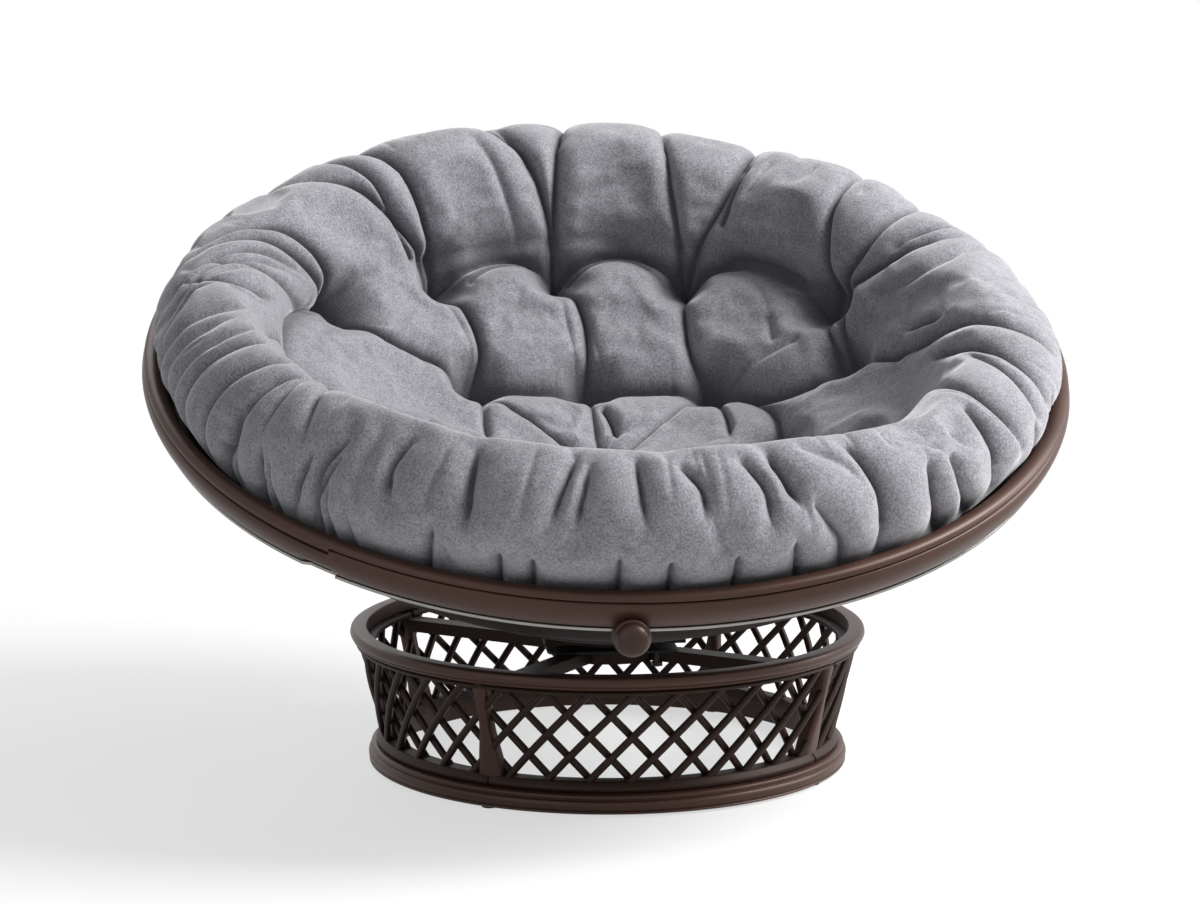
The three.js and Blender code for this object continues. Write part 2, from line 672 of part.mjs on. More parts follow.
// Hand screw: a domed knob on a stud that bears on the skirt through the lug
const screwFrame = new THREE.Group();
screwFrame.applyMatrix4(new THREE.Matrix4().makeRotationX(Math.PI / 2)
  .setPosition(0, lugFace - gap, lugLevel).premultiply(intoLug));
bowlFrame.add(screwFrame);
const knobSides = 24;
const domeShares = [[0.94, 0], [1, 0.08], [0.97, 0.3], [0.84, 0.6], [0.6, 0.84], [0.3, 0.97], [0, 1]];
const socketDepth = (knobNeckHeight + knobHeight) / 2;
place('hand_knob', spun([
  new THREE.Vector2(0, socketDepth),
  new THREE.Vector2(studRadius + gap, socketDepth),
  new THREE.Vector2(studRadius + gap, 0),
  new THREE.Vector2(knobNeck, 0),
  new THREE.Vector2(knobNeck, knobNeckHeight),
  ...sectionAt(domeShares, 0, knobNeckHeight, knobRadius, knobHeight),
], knobSides), bronze, screwFrame);
const skirtAt = (z) => (
  sphereMiddle.y - Math.sqrt((dishRadius + gap) ** 2 - (sphereMiddle.z - z) ** 2)
);
const studEnd = skirtAt(lugLevel + studRadius) - gap - lugFace;
place('screw_stud', cylinderAt(studRadius, -studEnd, socketDepth - gap, roundSides), steel, screwFrame);

// Cushion: a round pad with a seat that follows the dish and a fat pleated roll round its edge,
// drawn in by tufts on two circles and one in the middle
const padSides = 72;
const cushionRadius = rimRadius - bellyInset;
const rollRadius = cushionRadius - crestInset;
const outerTuftRadius = rollRadius - tuftInset;
const innerTuftRadius = outerTuftRadius - tuftPitch;
const seatSphere = padSphere - seatThickness;
const seatShares = [0.2, 0.4, 0.52, 0.62, 0.72, 0.83, 0.92, 1];
const underShares = [0.7, 0.35];
const rollShares = [0.16, 0.32, 0.48, 0.62, 0.75, 0.88, 1];
const tucked = new THREE.Vector2(hoopRadius - hoopRod - gap,
  sphereDrop(padSphere, hoopRadius - hoopRod - gap));
const rollCurve = new THREE.SplineCurve([
  new THREE.Vector2(outerTuftRadius, sphereDrop(seatSphere, outerTuftRadius)),
  new THREE.Vector2((outerTuftRadius + rollRadius) / 2, rollHeight * rollRiseShare),
  new THREE.Vector2(rollRadius, rollHeight),
  new THREE.Vector2(cushionRadius - (cushionRadius - rollRadius) * rollShoulderShare,
    (rollHeight + cushionBelly * rollShoulderShare) / (1 + rollShoulderShare)),
  new THREE.Vector2(cushionRadius, cushionBelly),
  new THREE.Vector2(rimRadius - bandWidth - edgeTuck, 0),
  tucked,
]);

const tufts = [[0, 0]];
for (let i = 0; i < innerTufts; i += 1) tufts.push([innerTuftRadius, turn * i / innerTufts]);
for (let i = 0; i < outerTufts; i += 1) tufts.push([outerTuftRadius, turn * i / outerTufts]);
const tuftPull = (radius, angle) => tufts.reduce((most, [r, a]) => {
  const apart = radius * radius + r * r - 2 * radius * r * Math.cos(angle - a);
  return Math.max(most, Math.exp(-apart / tuftSpread ** 2));
}, 0);

const rollMiddle = new THREE.Vector2((cushionRadius + outerTuftRadius) / 2, cushionBelly / 2);
const padPoint = (point, angle, share) => {
  const crease = (1 - Math.abs(Math.sin(outerTufts * angle / 2))) ** 2;
  const inward = point.clone().sub(rollMiddle).normalize().multiplyScalar(-pleatDepth * crease * share);
  const lift = rollSlump * Math.cos(angle - rad(slumpTurn)) * Math.max(0, point.y / rollHeight);
  const pull = tuftDepth * tuftPull(point.x, angle);
  const outward = new THREE.Vector2(point.x, point.y - dishCentre).normalize().multiplyScalar(pull);
  const radius = point.x + inward.x + outward.x;
  return [radius * Math.sin(angle), -radius * Math.cos(angle),
    point.y + inward.y + outward.y + lift];
};

const padRows = seatShares.map((share) => [
  new THREE.Vector2(outerTuftRadius * share, sphereDrop(seatSphere, outerTuftRadius * share)), 0]);
rollShares.forEach((share) => padRows.push([rollCurve.getPoint(share), Math.sin(Math.PI * share)]));
underShares.forEach((share) => padRows.push([
  new THREE.Vector2(tucked.x * share, sphereDrop(padSphere, tucked.x * share)), null]));

const padPositions = [0, 0, sphereDrop(seatSphere, 0) - tuftDepth];
padRows.forEach(([point, share]) => {
  for (let j = 0; j < padSides; j += 1) {
    const angle = turn * j / padSides;
    const at = share === null
      ? [point.x * Math.sin(angle), -point.x * Math.cos(angle), point.y]
      : padPoint(point, angle, share);
    padPositions.push(...at);
  }
});
padPositions.push(0, 0, sphereDrop(padSphere, 0));

const padFaces = [];
const padAt = (row, j) => 1 + row * padSides + (j % padSides);
const padLast = padRows.length * padSides + 1;
for (let j = 0; j < padSides; j += 1) {
  padFaces.push(0, padAt(0, j), padAt(0, j + 1));
  for (let row = 0; row + 1 < padRows.length; row += 1) {
    padFaces.push(padAt(row, j), padAt(row + 1, j), padAt(row + 1, j + 1));
    padFaces.push(padAt(row, j), padAt(row + 1, j + 1), padAt(row, j + 1));
  }
  padFaces.push(padLast, padAt(padRows.length - 1, j + 1), padAt(padRows.length - 1, j));
}
const pad = new THREE.BufferGeometry();
pad.setAttribute('position', new THREE.Float32BufferAttribute(padPositions, 3));
pad.setIndex(padFaces);
place('cushion', pad, suede, bowlFrame);

export default chair;
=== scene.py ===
import json
import math

import bpy
import numpy as np
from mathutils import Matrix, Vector


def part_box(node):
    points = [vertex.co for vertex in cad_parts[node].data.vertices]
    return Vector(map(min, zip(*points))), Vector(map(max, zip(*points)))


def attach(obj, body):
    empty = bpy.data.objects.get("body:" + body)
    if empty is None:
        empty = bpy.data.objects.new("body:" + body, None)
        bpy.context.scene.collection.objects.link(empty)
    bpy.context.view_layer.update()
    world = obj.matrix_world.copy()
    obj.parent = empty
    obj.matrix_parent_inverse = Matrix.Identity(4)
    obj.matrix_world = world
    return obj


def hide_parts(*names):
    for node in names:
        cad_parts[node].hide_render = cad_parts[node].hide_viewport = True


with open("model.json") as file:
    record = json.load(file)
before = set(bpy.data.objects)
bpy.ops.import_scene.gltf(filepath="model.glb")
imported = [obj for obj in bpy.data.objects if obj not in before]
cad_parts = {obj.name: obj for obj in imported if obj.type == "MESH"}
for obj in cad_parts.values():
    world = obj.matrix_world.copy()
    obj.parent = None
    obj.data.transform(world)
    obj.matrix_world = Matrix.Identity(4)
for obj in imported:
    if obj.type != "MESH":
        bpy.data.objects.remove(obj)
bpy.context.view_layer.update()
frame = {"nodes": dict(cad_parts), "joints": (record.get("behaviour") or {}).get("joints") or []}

# Camera, floor and light: a pale paper floor that runs into a white background, seen through a
# long lens. A large soft lamp hangs high on the right, with three weaker ones at the right, left
# and back, and an even light comes from all round.
scene = bpy.context.scene
scene.view_settings.view_transform = "Standard"

EYE = Vector((-0.391, -3.932, 0.983))
LOOK_AT = Vector((-0.0085, 0.0011, 0.359))
lens = bpy.data.cameras.new("camera")
lens.sensor_width = 36.0
lens.lens = 104.25
camera = bpy.data.objects.new("camera", lens)
camera.location = EYE
camera.rotation_euler = (LOOK_AT - EYE).to_track_quat("-Z", "Y").to_euler()
scene.collection.objects.link(camera)
scene.camera = camera


def lamp(name, place, size, power, colour):
    """A square area lamp at place that faces the seat."""
    light = bpy.data.lights.new(name, "AREA")
    light.size = size
    light.energy = power
    light.color = colour
    body = bpy.data.objects.new(name, light)
    body.location = place
    body.rotation_euler = (LOOK_AT - Vector(place)).to_track_quat("-Z", "Y").to_euler()
    scene.collection.objects.link(body)


lamp("key_lamp", (2.8, -0.4, 3.0), 1.7, 275, (1.0, 0.988, 0.982))
lamp("side_lamp", (3.3, 0.5, 1.2), 1.2, 40, (1.0, 1.0, 1.0))
lamp("fill_lamp", (-2.4, -2.6, 1.6), 2.2, 14, (0.95, 0.97, 1.0))
lamp("back_lamp", (-0.8, 2.8, 2.6), 1.6, 30, (1.0, 1.0, 1.0))


class Link:
    """A socket's output, on which sums are written as Python: each operator adds one Math node."""

    def __init__(self, finish, output):
        self.finish = finish
        self.output = output

    def maths(self, operation, *values):
        inputs = dict(enumerate(values))
        return self.finish.node("ShaderNodeMath", {"operation": operation}, inputs)

    def __add__(self, other):
        return self.maths("ADD", self, other)

    def __mul__(self, other):
        return self.maths("MULTIPLY", self, other)

    __radd__ = __add__
    __rmul__ = __mul__

    def smooth(self, low, high):
        """0 below low and 1 above high, with an S-shaped change between."""
        return self.finish.node("ShaderNodeMapRange", {"interpolation_type": "SMOOTHSTEP"},
                                {"Value": self, "From Min": low, "From Max": high})


class Finish:
    """A node tree with one method, node, that adds any node and returns its output."""

    def __init__(self, owner):
        owner.use_nodes = True
        self.owner = owner
        self.tree = owner.node_tree
        self.tree.nodes.clear()

    def node(self, kind, settings=None, values=None, output=0):
        made = self.tree.nodes.new(kind)
        for key, value in (settings or {}).items():
            setattr(made, key, value)
        for key, value in (values or {}).items():
            socket = made.inputs[key]
            if isinstance(value, Link):
                self.tree.links.new(value.output, socket)
            elif isinstance(value, tuple) and socket.type == "RGBA":
                socket.default_value = (*value, 1.0)
            else:
                socket.default_value = value
        return Link(self, made.outputs[output]) if made.outputs else None

    def mix(self, share, first, second):
        """The colour at a share of the way from first to second."""
        inputs = {0: share, 6: first, 7: second}
        return self.node("ShaderNodeMix", {"data_type": "RGBA"}, inputs, 2)

    def noise(self, scale, detail, place, roughness=0.5):
        """Soft noise from 0 to 1 on the object's own metres."""
        return self.node("ShaderNodeTexNoise", {}, {"Vector": place, "Scale": scale,
                                                    "Detail": detail, "Roughness": roughness})


EVEN_LIGHT = 0.24
world = bpy.data.worlds.new("studio")
scene.world = world
air = Finish(world)
seen = air.node("ShaderNodeLightPath")
glossy = Link(air, seen.output.node.outputs["Is Glossy Ray"])
through = Link(air, seen.output.node.outputs["Is Transmission Ray"])
plain = air.node("ShaderNodeBackground", {}, {"Color": (0.93, 0.96, 1.0), "Strength": EVEN_LIGHT})
white = air.node("ShaderNodeBackground", {}, {"Color": (1.0, 1.0, 1.0), "Strength": 1.0})
shown = air.node("ShaderNodeMixShader", {}, {0: seen + glossy + through, 1: plain, 2: white})
air.node("ShaderNodeOutputWorld", {}, {"Surface": shown})

# Near the chair the camera sees part of the paper's own light and shade, further out plain white.
FLOOR_HALF = 30.0
WHITE_NEAR = 0.62
WHITE_FROM, WHITE_TO = 0.5, 2.4
floor_mesh = bpy.data.meshes.new("floor")
corners = np.array([[-1, -1, 0], [1, -1, 0], [1, 1, 0], [-1, 1, 0]]) * FLOOR_HALF
floor_mesh.from_pydata(corners.tolist(), [], [[0, 1, 2, 3]])
floor = bpy.data.objects.new("floor", floor_mesh)
scene.collection.objects.link(floor)
paper = Finish(bpy.data.materials.new("floor_paper"))
seen = paper.node("ShaderNodeLightPath")
glossy = Link(paper, seen.output.node.outputs["Is Glossy Ray"])
place = paper.node("ShaderNodeTexCoord", output=3)
reach = paper.node("ShaderNodeVectorMath", {"operation": "LENGTH"}, {0: place}, 1)
lit = paper.node("ShaderNodeBsdfDiffuse", {}, {"Color": (0.86, 0.86, 0.86)})
glow = paper.node("ShaderNodeEmission", {}, {"Color": (1.0, 1.0, 1.0), "Strength": 1.0})
share = (seen + glossy) * (WHITE_NEAR + (1 - WHITE_NEAR) * reach.smooth(WHITE_FROM, WHITE_TO))
paper.node("ShaderNodeOutputMaterial", {}, {
    "Surface": paper.node("ShaderNodeMixShader", {}, {0: share, 1: lit, 2: glow})})
floor.data.materials.append(paper.owner)


# Glides: four moulded black rubber discs that are stuck under the bottom ring, one below each
# post. The chair stands on them, and they hardly show.
def mesh_of(name, grids, loop_rows=False, caps=True):
    """One mesh of several closed surfaces. Each grid has rows of points that run round a section.
    Rows join to the next row, and the last to the first with loop_rows; otherwise each end closes
    on a point in the middle of its row, with caps. Where the sum of the corners' triple products
    is negative, the faces are turned, so that all of them point outwards."""
    points, quads, fans, start = [], [], [], 0
    for grid in grids:
        rows, columns = grid.shape[:2]
        index = start + np.arange(rows * columns).reshape(rows, columns)
        following = np.roll(index, -1, axis=0) if loop_rows else index[1:]
        near = index if loop_rows else index[:-1]
        quads.append(np.stack([near, np.roll(near, -1, 1), np.roll(following, -1, 1), following],
                              -1).reshape(-1, 4))
        points.append(grid.reshape(-1, 3))
        start += rows * columns
        if caps and not loop_rows:
            points.append(np.stack([grid[0].mean(0), grid[-1].mean(0)]))
            first, last = index[0], index[-1]
            fans.append(np.stack([np.roll(first, -1), first, np.full(columns, start)], -1))
            fans.append(np.stack([last, np.roll(last, -1), np.full(columns, start + 1)], -1))
            start += 2
    points, quads = np.concatenate(points), np.concatenate(quads)
    fans = np.concatenate(fans) if fans else np.zeros((0, 3), int)
    a, b, c, d = points[quads].transpose(1, 0, 2)
    volume = np.einsum("ij,ij->", a, np.cross(b, c)) + np.einsum("ij,ij->", a, np.cross(c, d))
    if len(fans):
        a, b, c = points[fans].transpose(1, 0, 2)
        volume += np.einsum("ij,ij->", a, np.cross(b, c))
    if volume < 0:
        quads, fans = quads[:, ::-1], fans[:, ::-1]
    mesh = bpy.data.meshes.new(name)
    mesh.from_pydata(points.tolist(), [], quads.tolist() + fans.tolist())
    mesh.shade_smooth()
    piece = bpy.data.objects.new(name, mesh)
    scene.collection.objects.link(piece)
    return piece


def rounded(corners, radius, steps=5):
    """A closed outline with each corner cut back by radius, at most by nearly half a side, and
    bridged by a parabola."""
    corners = np.asarray(corners, float)

    def towards(other):
        """Points a radius away from the corners, on the sides that lead to the other corners."""
        way = other - corners
        length = np.linalg.norm(way, axis=1, keepdims=True)
        return corners + way * np.minimum(radius / length, 0.46)

    start = towards(np.roll(corners, 1, 0))[:, None]
    end = towards(np.roll(corners, -1, 0))[:, None]
    t = np.linspace(0, 1, steps)[None, :, None]
    curve = (1 - t) ** 2 * start + 2 * t * (1 - t) * corners[:, None] + t ** 2 * end
    return curve.reshape(-1, 2)


def turned(outline, sides):
    """A ring: a closed outline of radii and heights carried round the upright axis."""
    angle = np.linspace(0, 2 * math.pi, sides, endpoint=False)[:, None]
    radius, height = outline[None, :, 0], outline[None, :, 1]
    return np.stack([radius * np.sin(angle), -radius * np.cos(angle),
                     np.broadcast_to(height, (sides, outline.shape[0]))], -1)


def spun(outline, sides):
    """A disc or knob: an outline that starts and ends near the axis, row by row round it."""
    return turned(outline, sides).transpose(1, 0, 2)


def dress(piece, body, slot, material, *nodes):
    """Gives a finished piece its material, hides the solids that it stands in for and ties it to
    its body. The slot is not used.
    """
    piece.data.materials.append(material)
    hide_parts(*nodes)
    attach(piece, body)


def solid_points(node):
    """The corners of a solid, in the chair's own frame."""
    mesh = frame["nodes"][node].data
    points = np.zeros(len(mesh.vertices) * 3)
    mesh.vertices.foreach_get("co", points)
    return points.reshape(-1, 3)


def principled(name, colour, roughness, metallic=0.0, **constants):
    """A finish with a colour, a roughness and further constants of its shader."""
    finish = Finish(bpy.data.materials.new(name))
    finish.place = finish.node("ShaderNodeTexCoord", output=3)
    finish.shade = finish.node("ShaderNodeBsdfPrincipled", {}, {
        "Base Color": colour, "Roughness": roughness, "Metallic": metallic})
    for key, value in constants.items():
        finish.shade.output.node.inputs[key.replace("_", " ")].default_value = value
    finish.node("ShaderNodeOutputMaterial", {}, {"Surface": finish.shade})
    return finish


def set_shade(finish, **links):
    """Joins what varies over the surface to the shader."""
    for key, value in links.items():
        finish.tree.links.new(value.output, finish.shade.output.node.inputs[key.replace("_", " ")])


rubber = principled("rubber", (0.012, 0.012, 0.013), 0.8)
grain = rubber.noise(420, 3, rubber.place)
set_shade(rubber, Base_Color=rubber.mix(grain, (0.009, 0.009, 0.01), (0.02, 0.02, 0.021)),
          Roughness=0.7 + 0.2 * grain,
          Normal=rubber.node("ShaderNodeBump", {}, {"Height": grain, "Strength": 0.3,
                                                    "Distance": 0.0003}))
ON_AXIS = 1e-5
GLIDE_ROUND, GLIDE_SIDES = 0.0009, 40
for number in range(1, 5):
    low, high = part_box(f"glide_{number}")
    glide_radius = (high.x - low.x) / 2
    outline = rounded([(ON_AXIS, 0.0), (glide_radius, 0.0), (glide_radius, high.z),
                       (ON_AXIS, high.z)], GLIDE_ROUND)
    glide = spun(outline, GLIDE_SIDES) + np.array([(low.x + high.x) / 2, (low.y + high.y) / 2, 0.0])
    dress(mesh_of(f"rubber_glide_{number}", [glide]), "base", "rubber", rubber.owner,
          f"glide_{number}")


# Base rings: two turned mouldings in satin bronze, the lower one stouter with a cove above its
# belly, the upper one a half round. They are moulded in one piece each and clamp the wall.
def satin_paint(name, dark, light, roughness):
    """A satin finish: cloudy between two shades, finely speckled, with soft orange peel. The
    rougher it is, the less it mirrors."""
    paint = principled(name, dark, roughness, 0.2, Specular_IOR_Level=0.5 - 0.6 * roughness)
    cloud = paint.noise(9, 3, paint.place)
    speck = paint.noise(700, 2, paint.place)
    peel = paint.noise(160, 2, paint.place)
    set_shade(paint, Base_Color=paint.mix(cloud * 0.7 + speck * 0.3, dark, light),
              Roughness=(roughness - 0.06) + 0.14 * cloud,
              Normal=paint.node("ShaderNodeBump", {}, {"Height": peel * 0.7 + speck * 0.3,
                                                       "Strength": 0.12, "Distance": 0.0004}))
    return paint.owner


bronze = satin_paint("bronze_paint", (0.038, 0.0165, 0.0112), (0.069, 0.033, 0.0232), 0.40)
dark_bronze = satin_paint("dark_bronze_paint", (0.015, 0.0070, 0.0048),
                          (0.029, 0.0142, 0.0100), 0.50)

RING_SIDES = 256
RING_ROUND = 0.0012
BOTTOM_RING_SHARES = [(0, 0), (0.90, 0), (0.99, 0.07), (0.96, 0.15), (0.90, 0.18), (0.96, 0.22),
                      (1, 0.34), (1, 0.52), (0.94, 0.66), (0.84, 0.70), (0.88, 0.75), (0.90, 0.88),
                      (0.84, 0.97), (0.72, 1), (0, 1)]
TOP_RING_SHARES = [(0, 0), (0.66, 0), (0.80, 0.10), (0.84, 0.20), (0.78, 0.25), (0.90, 0.31),
                   (1, 0.56), (0.93, 0.88), (0.76, 1), (0, 1)]
BOTTOM_RING_WIDTH = 0.026
TOP_RING_WIDTH = 0.019
for node, shares, width in (("bottom_ring", BOTTOM_RING_SHARES, BOTTOM_RING_WIDTH),
                            ("top_ring", TOP_RING_SHARES, TOP_RING_WIDTH)):
    low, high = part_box(node)
    outline = (np.array(shares) * [width, high.z - low.z] + [high.x - width, low.z])
    ring = turned(rounded(outline, RING_ROUND, 4), RING_SIDES)
    dress(mesh_of(f"turned_{node}", [ring], loop_rows=True), "base", "bronze_moulding", bronze,
          node)


# Posts: four cast bottle shapes, held between the two rings, that lean with the wall. They are
# flared at the foot, slim at the neck and spread again under the upper ring, with round edges.
POST_FOOT, POST_NECK, POST_HEAD = 0.032, 0.012, 0.022
POST_NECK_LEVEL, POST_SQUARENESS = 0.6, 0.55
POST_LEVELS, POST_SIDES, POST_SMOOTHING = 41, 32, 7
POST_LEVEL_SHARES = [0, 0.12, 0.28, 0.44, 0.58, 0.74, 0.88, 1]
POST_SPREAD_SHARES = [1, 0.94, 0.66, 0.28, 0, 0.04, 0.4, 1]
WALL_TOP, WALL_BOTTOM = 0.288, 0.265
RAIL_TOP, RAIL_BOTTOM = 0.1374, 0.0366
STRAND, LAYER, PROUD = 0.0043, 0.0089, 0.0008
POST_TURN = -35.0


def wall_radius(height):
    """Outside of the rods at a height: a straight cone between the two rails."""
    share = (height - RAIL_BOTTOM) / (RAIL_TOP - RAIL_BOTTOM)
    return WALL_BOTTOM + (WALL_TOP - WALL_BOTTOM) * share


post_low, post_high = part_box("base_post_1")
post_level = np.linspace(0, 1, POST_LEVELS)
spread = np.interp(post_level, POST_LEVEL_SHARES, POST_SPREAD_SHARES)
spread = np.convolve(np.pad(spread, POST_SMOOTHING // 2, "edge"),
                     np.ones(POST_SMOOTHING) / POST_SMOOTHING, "valid")
widest = np.where(post_level < POST_NECK_LEVEL, POST_FOOT, POST_HEAD)
post_half = (POST_NECK + (widest - POST_NECK) * spread) / 2
post_height = post_low.z + (post_high.z - post_low.z) * post_level
post_depth = STRAND + LAYER / 2 + PROUD
section = np.linspace(0, 2 * math.pi, POST_SIDES, endpoint=False)
squarish = np.sign(np.cos(section)) * np.abs(np.cos(section)) ** POST_SQUARENESS
thick = np.sign(np.sin(section)) * np.abs(np.sin(section)) ** POST_SQUARENESS
post_across = post_half[:, None] * squarish
post_out = wall_radius(post_height)[:, None] - STRAND - LAYER / 2 + post_depth * thick
post_angles = np.radians(POST_TURN + 90.0 * np.arange(4))
for number, angle in enumerate(post_angles, 1):
    post = np.stack([post_across * math.cos(angle) + post_out * math.sin(angle),
                     post_across * math.sin(angle) - post_out * math.cos(angle),
                     np.broadcast_to(post_height[:, None], post_across.shape)], -1)
    dress(mesh_of(f"bottle_post_{number}", [post]), "base", "bronze_casting", bronze,
          f"base_post_{number}")


# Lattice wall: steel rods in two layers, leaning one way outside and the other way inside, welded
# into an upper and a lower rail and powder coated nearly black. Each of the four panels runs from
# post to post.
STRANDS, STRAND_CELLS, STRAND_STEPS, RAIL_STEPS = 36, 2, 34, 65
TOP_RAIL_SHARES = [(0, 0), (0.86, 0), (1, 0.5), (0.86, 1), (0, 1)]
BOTTOM_RAIL_SHARES = [(0, 0), (0.94, 0), (1, 0.4), (0.8, 1), (0, 1)]
RAIL_WIDTH, RAIL_INSIDE, RAIL_ROUND = 0.0235, 0.002, 0.0015
TOP_RAIL_HEIGHT, BOTTOM_RAIL_HEIGHT = 0.006, 0.012
BURIED = 0.003
PANEL_GAP = 0.004


def rods(paths, radius, sides=12):
    """Round bars along several paths at once. Each section stands square to its path, turned so
    that one of its spokes points away from the upright axis."""
    along = np.gradient(paths, axis=1)
    along /= np.linalg.norm(along, axis=-1, keepdims=True)
    out = paths * [1, 1, 0]
    out = out - along * np.sum(out * along, -1, keepdims=True)
    out /= np.linalg.norm(out, axis=-1, keepdims=True)
    side = np.cross(along, out)
    spoke = np.linspace(0, 2 * math.pi, sides, endpoint=False)[:, None]
    return (paths[:, :, None] + radius * (np.cos(spoke) * out[:, :, None]
                                          + np.sin(spoke) * side[:, :, None]))


strand_height = np.linspace(RAIL_BOTTOM - BURIED, RAIL_TOP + BURIED, STRAND_STEPS)
sweep = STRAND_CELLS * 2 * math.pi / STRANDS * ((strand_height - RAIL_BOTTOM)
                                               / (RAIL_TOP - RAIL_BOTTOM) - 0.5)
strand_middle = 2 * math.pi * np.arange(STRANDS) / STRANDS
panel_rods = [[] for _ in post_angles]
for lean, inset in ((1, STRAND), (-1, STRAND + LAYER)):
    bar_angle = strand_middle[:, None] + lean * sweep[None]
    bar_radius = wall_radius(strand_height)[None] - inset
    bars = np.stack([bar_radius * np.sin(bar_angle), -bar_radius * np.cos(bar_angle),
                     np.broadcast_to(strand_height, bar_angle.shape)], -1)
    quarter = np.floor((bar_angle - post_angles[0]) / (math.pi / 2)).astype(int) % 4
    for bar, belongs in zip(bars, quarter):
        for panel in np.unique(belongs):
            kept = bar[belongs == panel]
            if len(kept) > 2:
                panel_rods[panel].append(rods(kept[None], STRAND)[0])

for panel, angle in enumerate(post_angles):
    arc = angle + np.linspace(PANEL_GAP, math.pi / 2 - PANEL_GAP, RAIL_STEPS)[:, None]
    rails = []
    for shares, radius, base, height in (
            (TOP_RAIL_SHARES, WALL_TOP, RAIL_TOP, TOP_RAIL_HEIGHT),
            (BOTTOM_RAIL_SHARES, WALL_BOTTOM, RAIL_BOTTOM - BOTTOM_RAIL_HEIGHT,
             BOTTOM_RAIL_HEIGHT)):
        outline = rounded(np.array(shares) * [RAIL_WIDTH, height]
                          + [radius - 2 * STRAND - LAYER - RAIL_INSIDE, base], RAIL_ROUND, 4)
        rails.append(np.stack([outline[:, 0] * np.sin(arc), -outline[:, 0] * np.cos(arc),
                               np.broadcast_to(outline[:, 1], (len(arc), len(outline)))], -1))
    dress(mesh_of(f"welded_lattice_{panel + 1}", panel_rods[panel] + rails), "base",
          "dark_bronze_steel", dark_bronze, f"lattice_panel_{panel + 1}")


# Cross frame, tilt frame and swivel: plain steel parts under the bowl, cut, welded and bolted,
# that keep the shape of their solids. The frames are coated like the lattice and the swivel's
# plates painted black. The ball race, rivet, bolts and stud are plated with black zinc.
black_paint = satin_paint("black_paint", (0.010, 0.0095, 0.009), (0.020, 0.019, 0.018), 0.45)
black_zinc = principled("black_zinc", (0.03, 0.03, 0.03), 0.4, 0.7)
cloud = black_zinc.noise(60, 3, black_zinc.place)
brush = black_zinc.noise(900, 2, black_zinc.place)
set_shade(black_zinc,
          Base_Color=black_zinc.mix(cloud, (0.022, 0.021, 0.02), (0.05, 0.048, 0.046)),
          Roughness=0.28 + 0.2 * brush,
          Normal=black_zinc.node("ShaderNodeBump", {}, {"Height": brush, "Strength": 0.1,
                                                        "Distance": 0.0002}))


def paint_solid(node, material):
    """Gives its finish to a solid that is shown as it is."""
    frame["nodes"][node].data.materials.clear()
    frame["nodes"][node].data.materials.append(material)


for node in ("cross_frame", "tilt_frame"):
    paint_solid(node, dark_bronze)
for node in ("swivel_lower_plate", "swivel_upper_plate"):
    paint_solid(node, black_paint)
for node in ("ball_race", "swivel_rivet", "screw_stud"):
    paint_solid(node, black_zinc.owner)
for number in range(1, 5):
    paint_solid(f"swivel_bolt_{number}", black_zinc.owner)
    paint_solid(f"tilt_bolt_{number}", black_zinc.owner)


# Bowl: a round steel dish with a moulded rim, put together level and then tipped forwards on the
# wedge frame. So its pieces are worked out about the rim's own axis, and then laid into the
# chair's frame.
AXIS = np.array(next(j for j in frame["joints"] if j["name"] == "cushion_lift")["axis"])
SIDEWAYS = np.array([1.0, 0.0, 0.0])
BOWL = np.stack([SIDEWAYS, np.cross(AXIS, SIDEWAYS), AXIS])
BEAD_BASE = 0.0113
bead_points = solid_points("rim_bead")
bead_middle = bead_points.mean(0)
RIM_CENTRE = bead_middle + AXIS * ((bead_points @ AXIS).min() - bead_middle @ AXIS - BEAD_BASE)


def lay(grid):
    """From the bowl's frame into the chair's: the rim's centre, plus each coordinate times the
    bowl's axis of that coordinate."""
    return RIM_CENTRE + grid @ BOWL


def in_bowl(node):
    """A solid's corners as radii and heights about the rim's axis."""
    points = (solid_points(node) - RIM_CENTRE) @ BOWL.T
    return np.hypot(points[:, 0], points[:, 1]), points[:, 2]


# Dish: a pressed steel plate at the bottom, a moulded skirt under the rim, and bent steel rods
# with two hoops that tie them together. All of it is dark and mostly in shadow.
DISH_RADIUS, DISH_CENTRE = 0.6725, 0.4215
HUB_REACH, HUB_THICK, HUB_SIDES = 0.205, 0.004, 128
SKIRT_IN, SKIRT_OUT, SKIRT_THICK = 0.385, 0.5037, 0.0032


def on_sphere(sphere, radius):
    """Height of a sphere about the dish's centre at a radius from the axis: the centre's height
    less the root of the difference of the squares."""
    return DISH_CENTRE - np.sqrt(sphere ** 2 - radius ** 2)


def shell(reach_in, reach_out, thick, steps=28):
    """The closed outline of a spherical shell between two radii."""
    radius = np.linspace(reach_in, reach_out, steps)
    outer = np.stack([radius, on_sphere(DISH_RADIUS, radius)], -1)
    inner = np.stack([radius, on_sphere(DISH_RADIUS - thick, radius)], -1)
    return np.concatenate([outer, inner[::-1]])


hub = spun(shell(ON_AXIS, HUB_REACH, HUB_THICK), HUB_SIDES)
dress(mesh_of("pressed_hub_dish", [lay(hub)]), "bowl", "dark_bronze_steel", dark_bronze,
      "hub_dish")
skirt = turned(shell(SKIRT_IN, SKIRT_OUT, SKIRT_THICK), RING_SIDES)
skirt_plastic = satin_paint("skirt_plastic", (0.0075, 0.0042, 0.0032),
                            (0.014, 0.0080, 0.0060), 0.66)
dress(mesh_of("moulded_skirt", [lay(skirt)], loop_rows=True), "bowl", "dark_moulding",
      skirt_plastic, "dish_skirt")

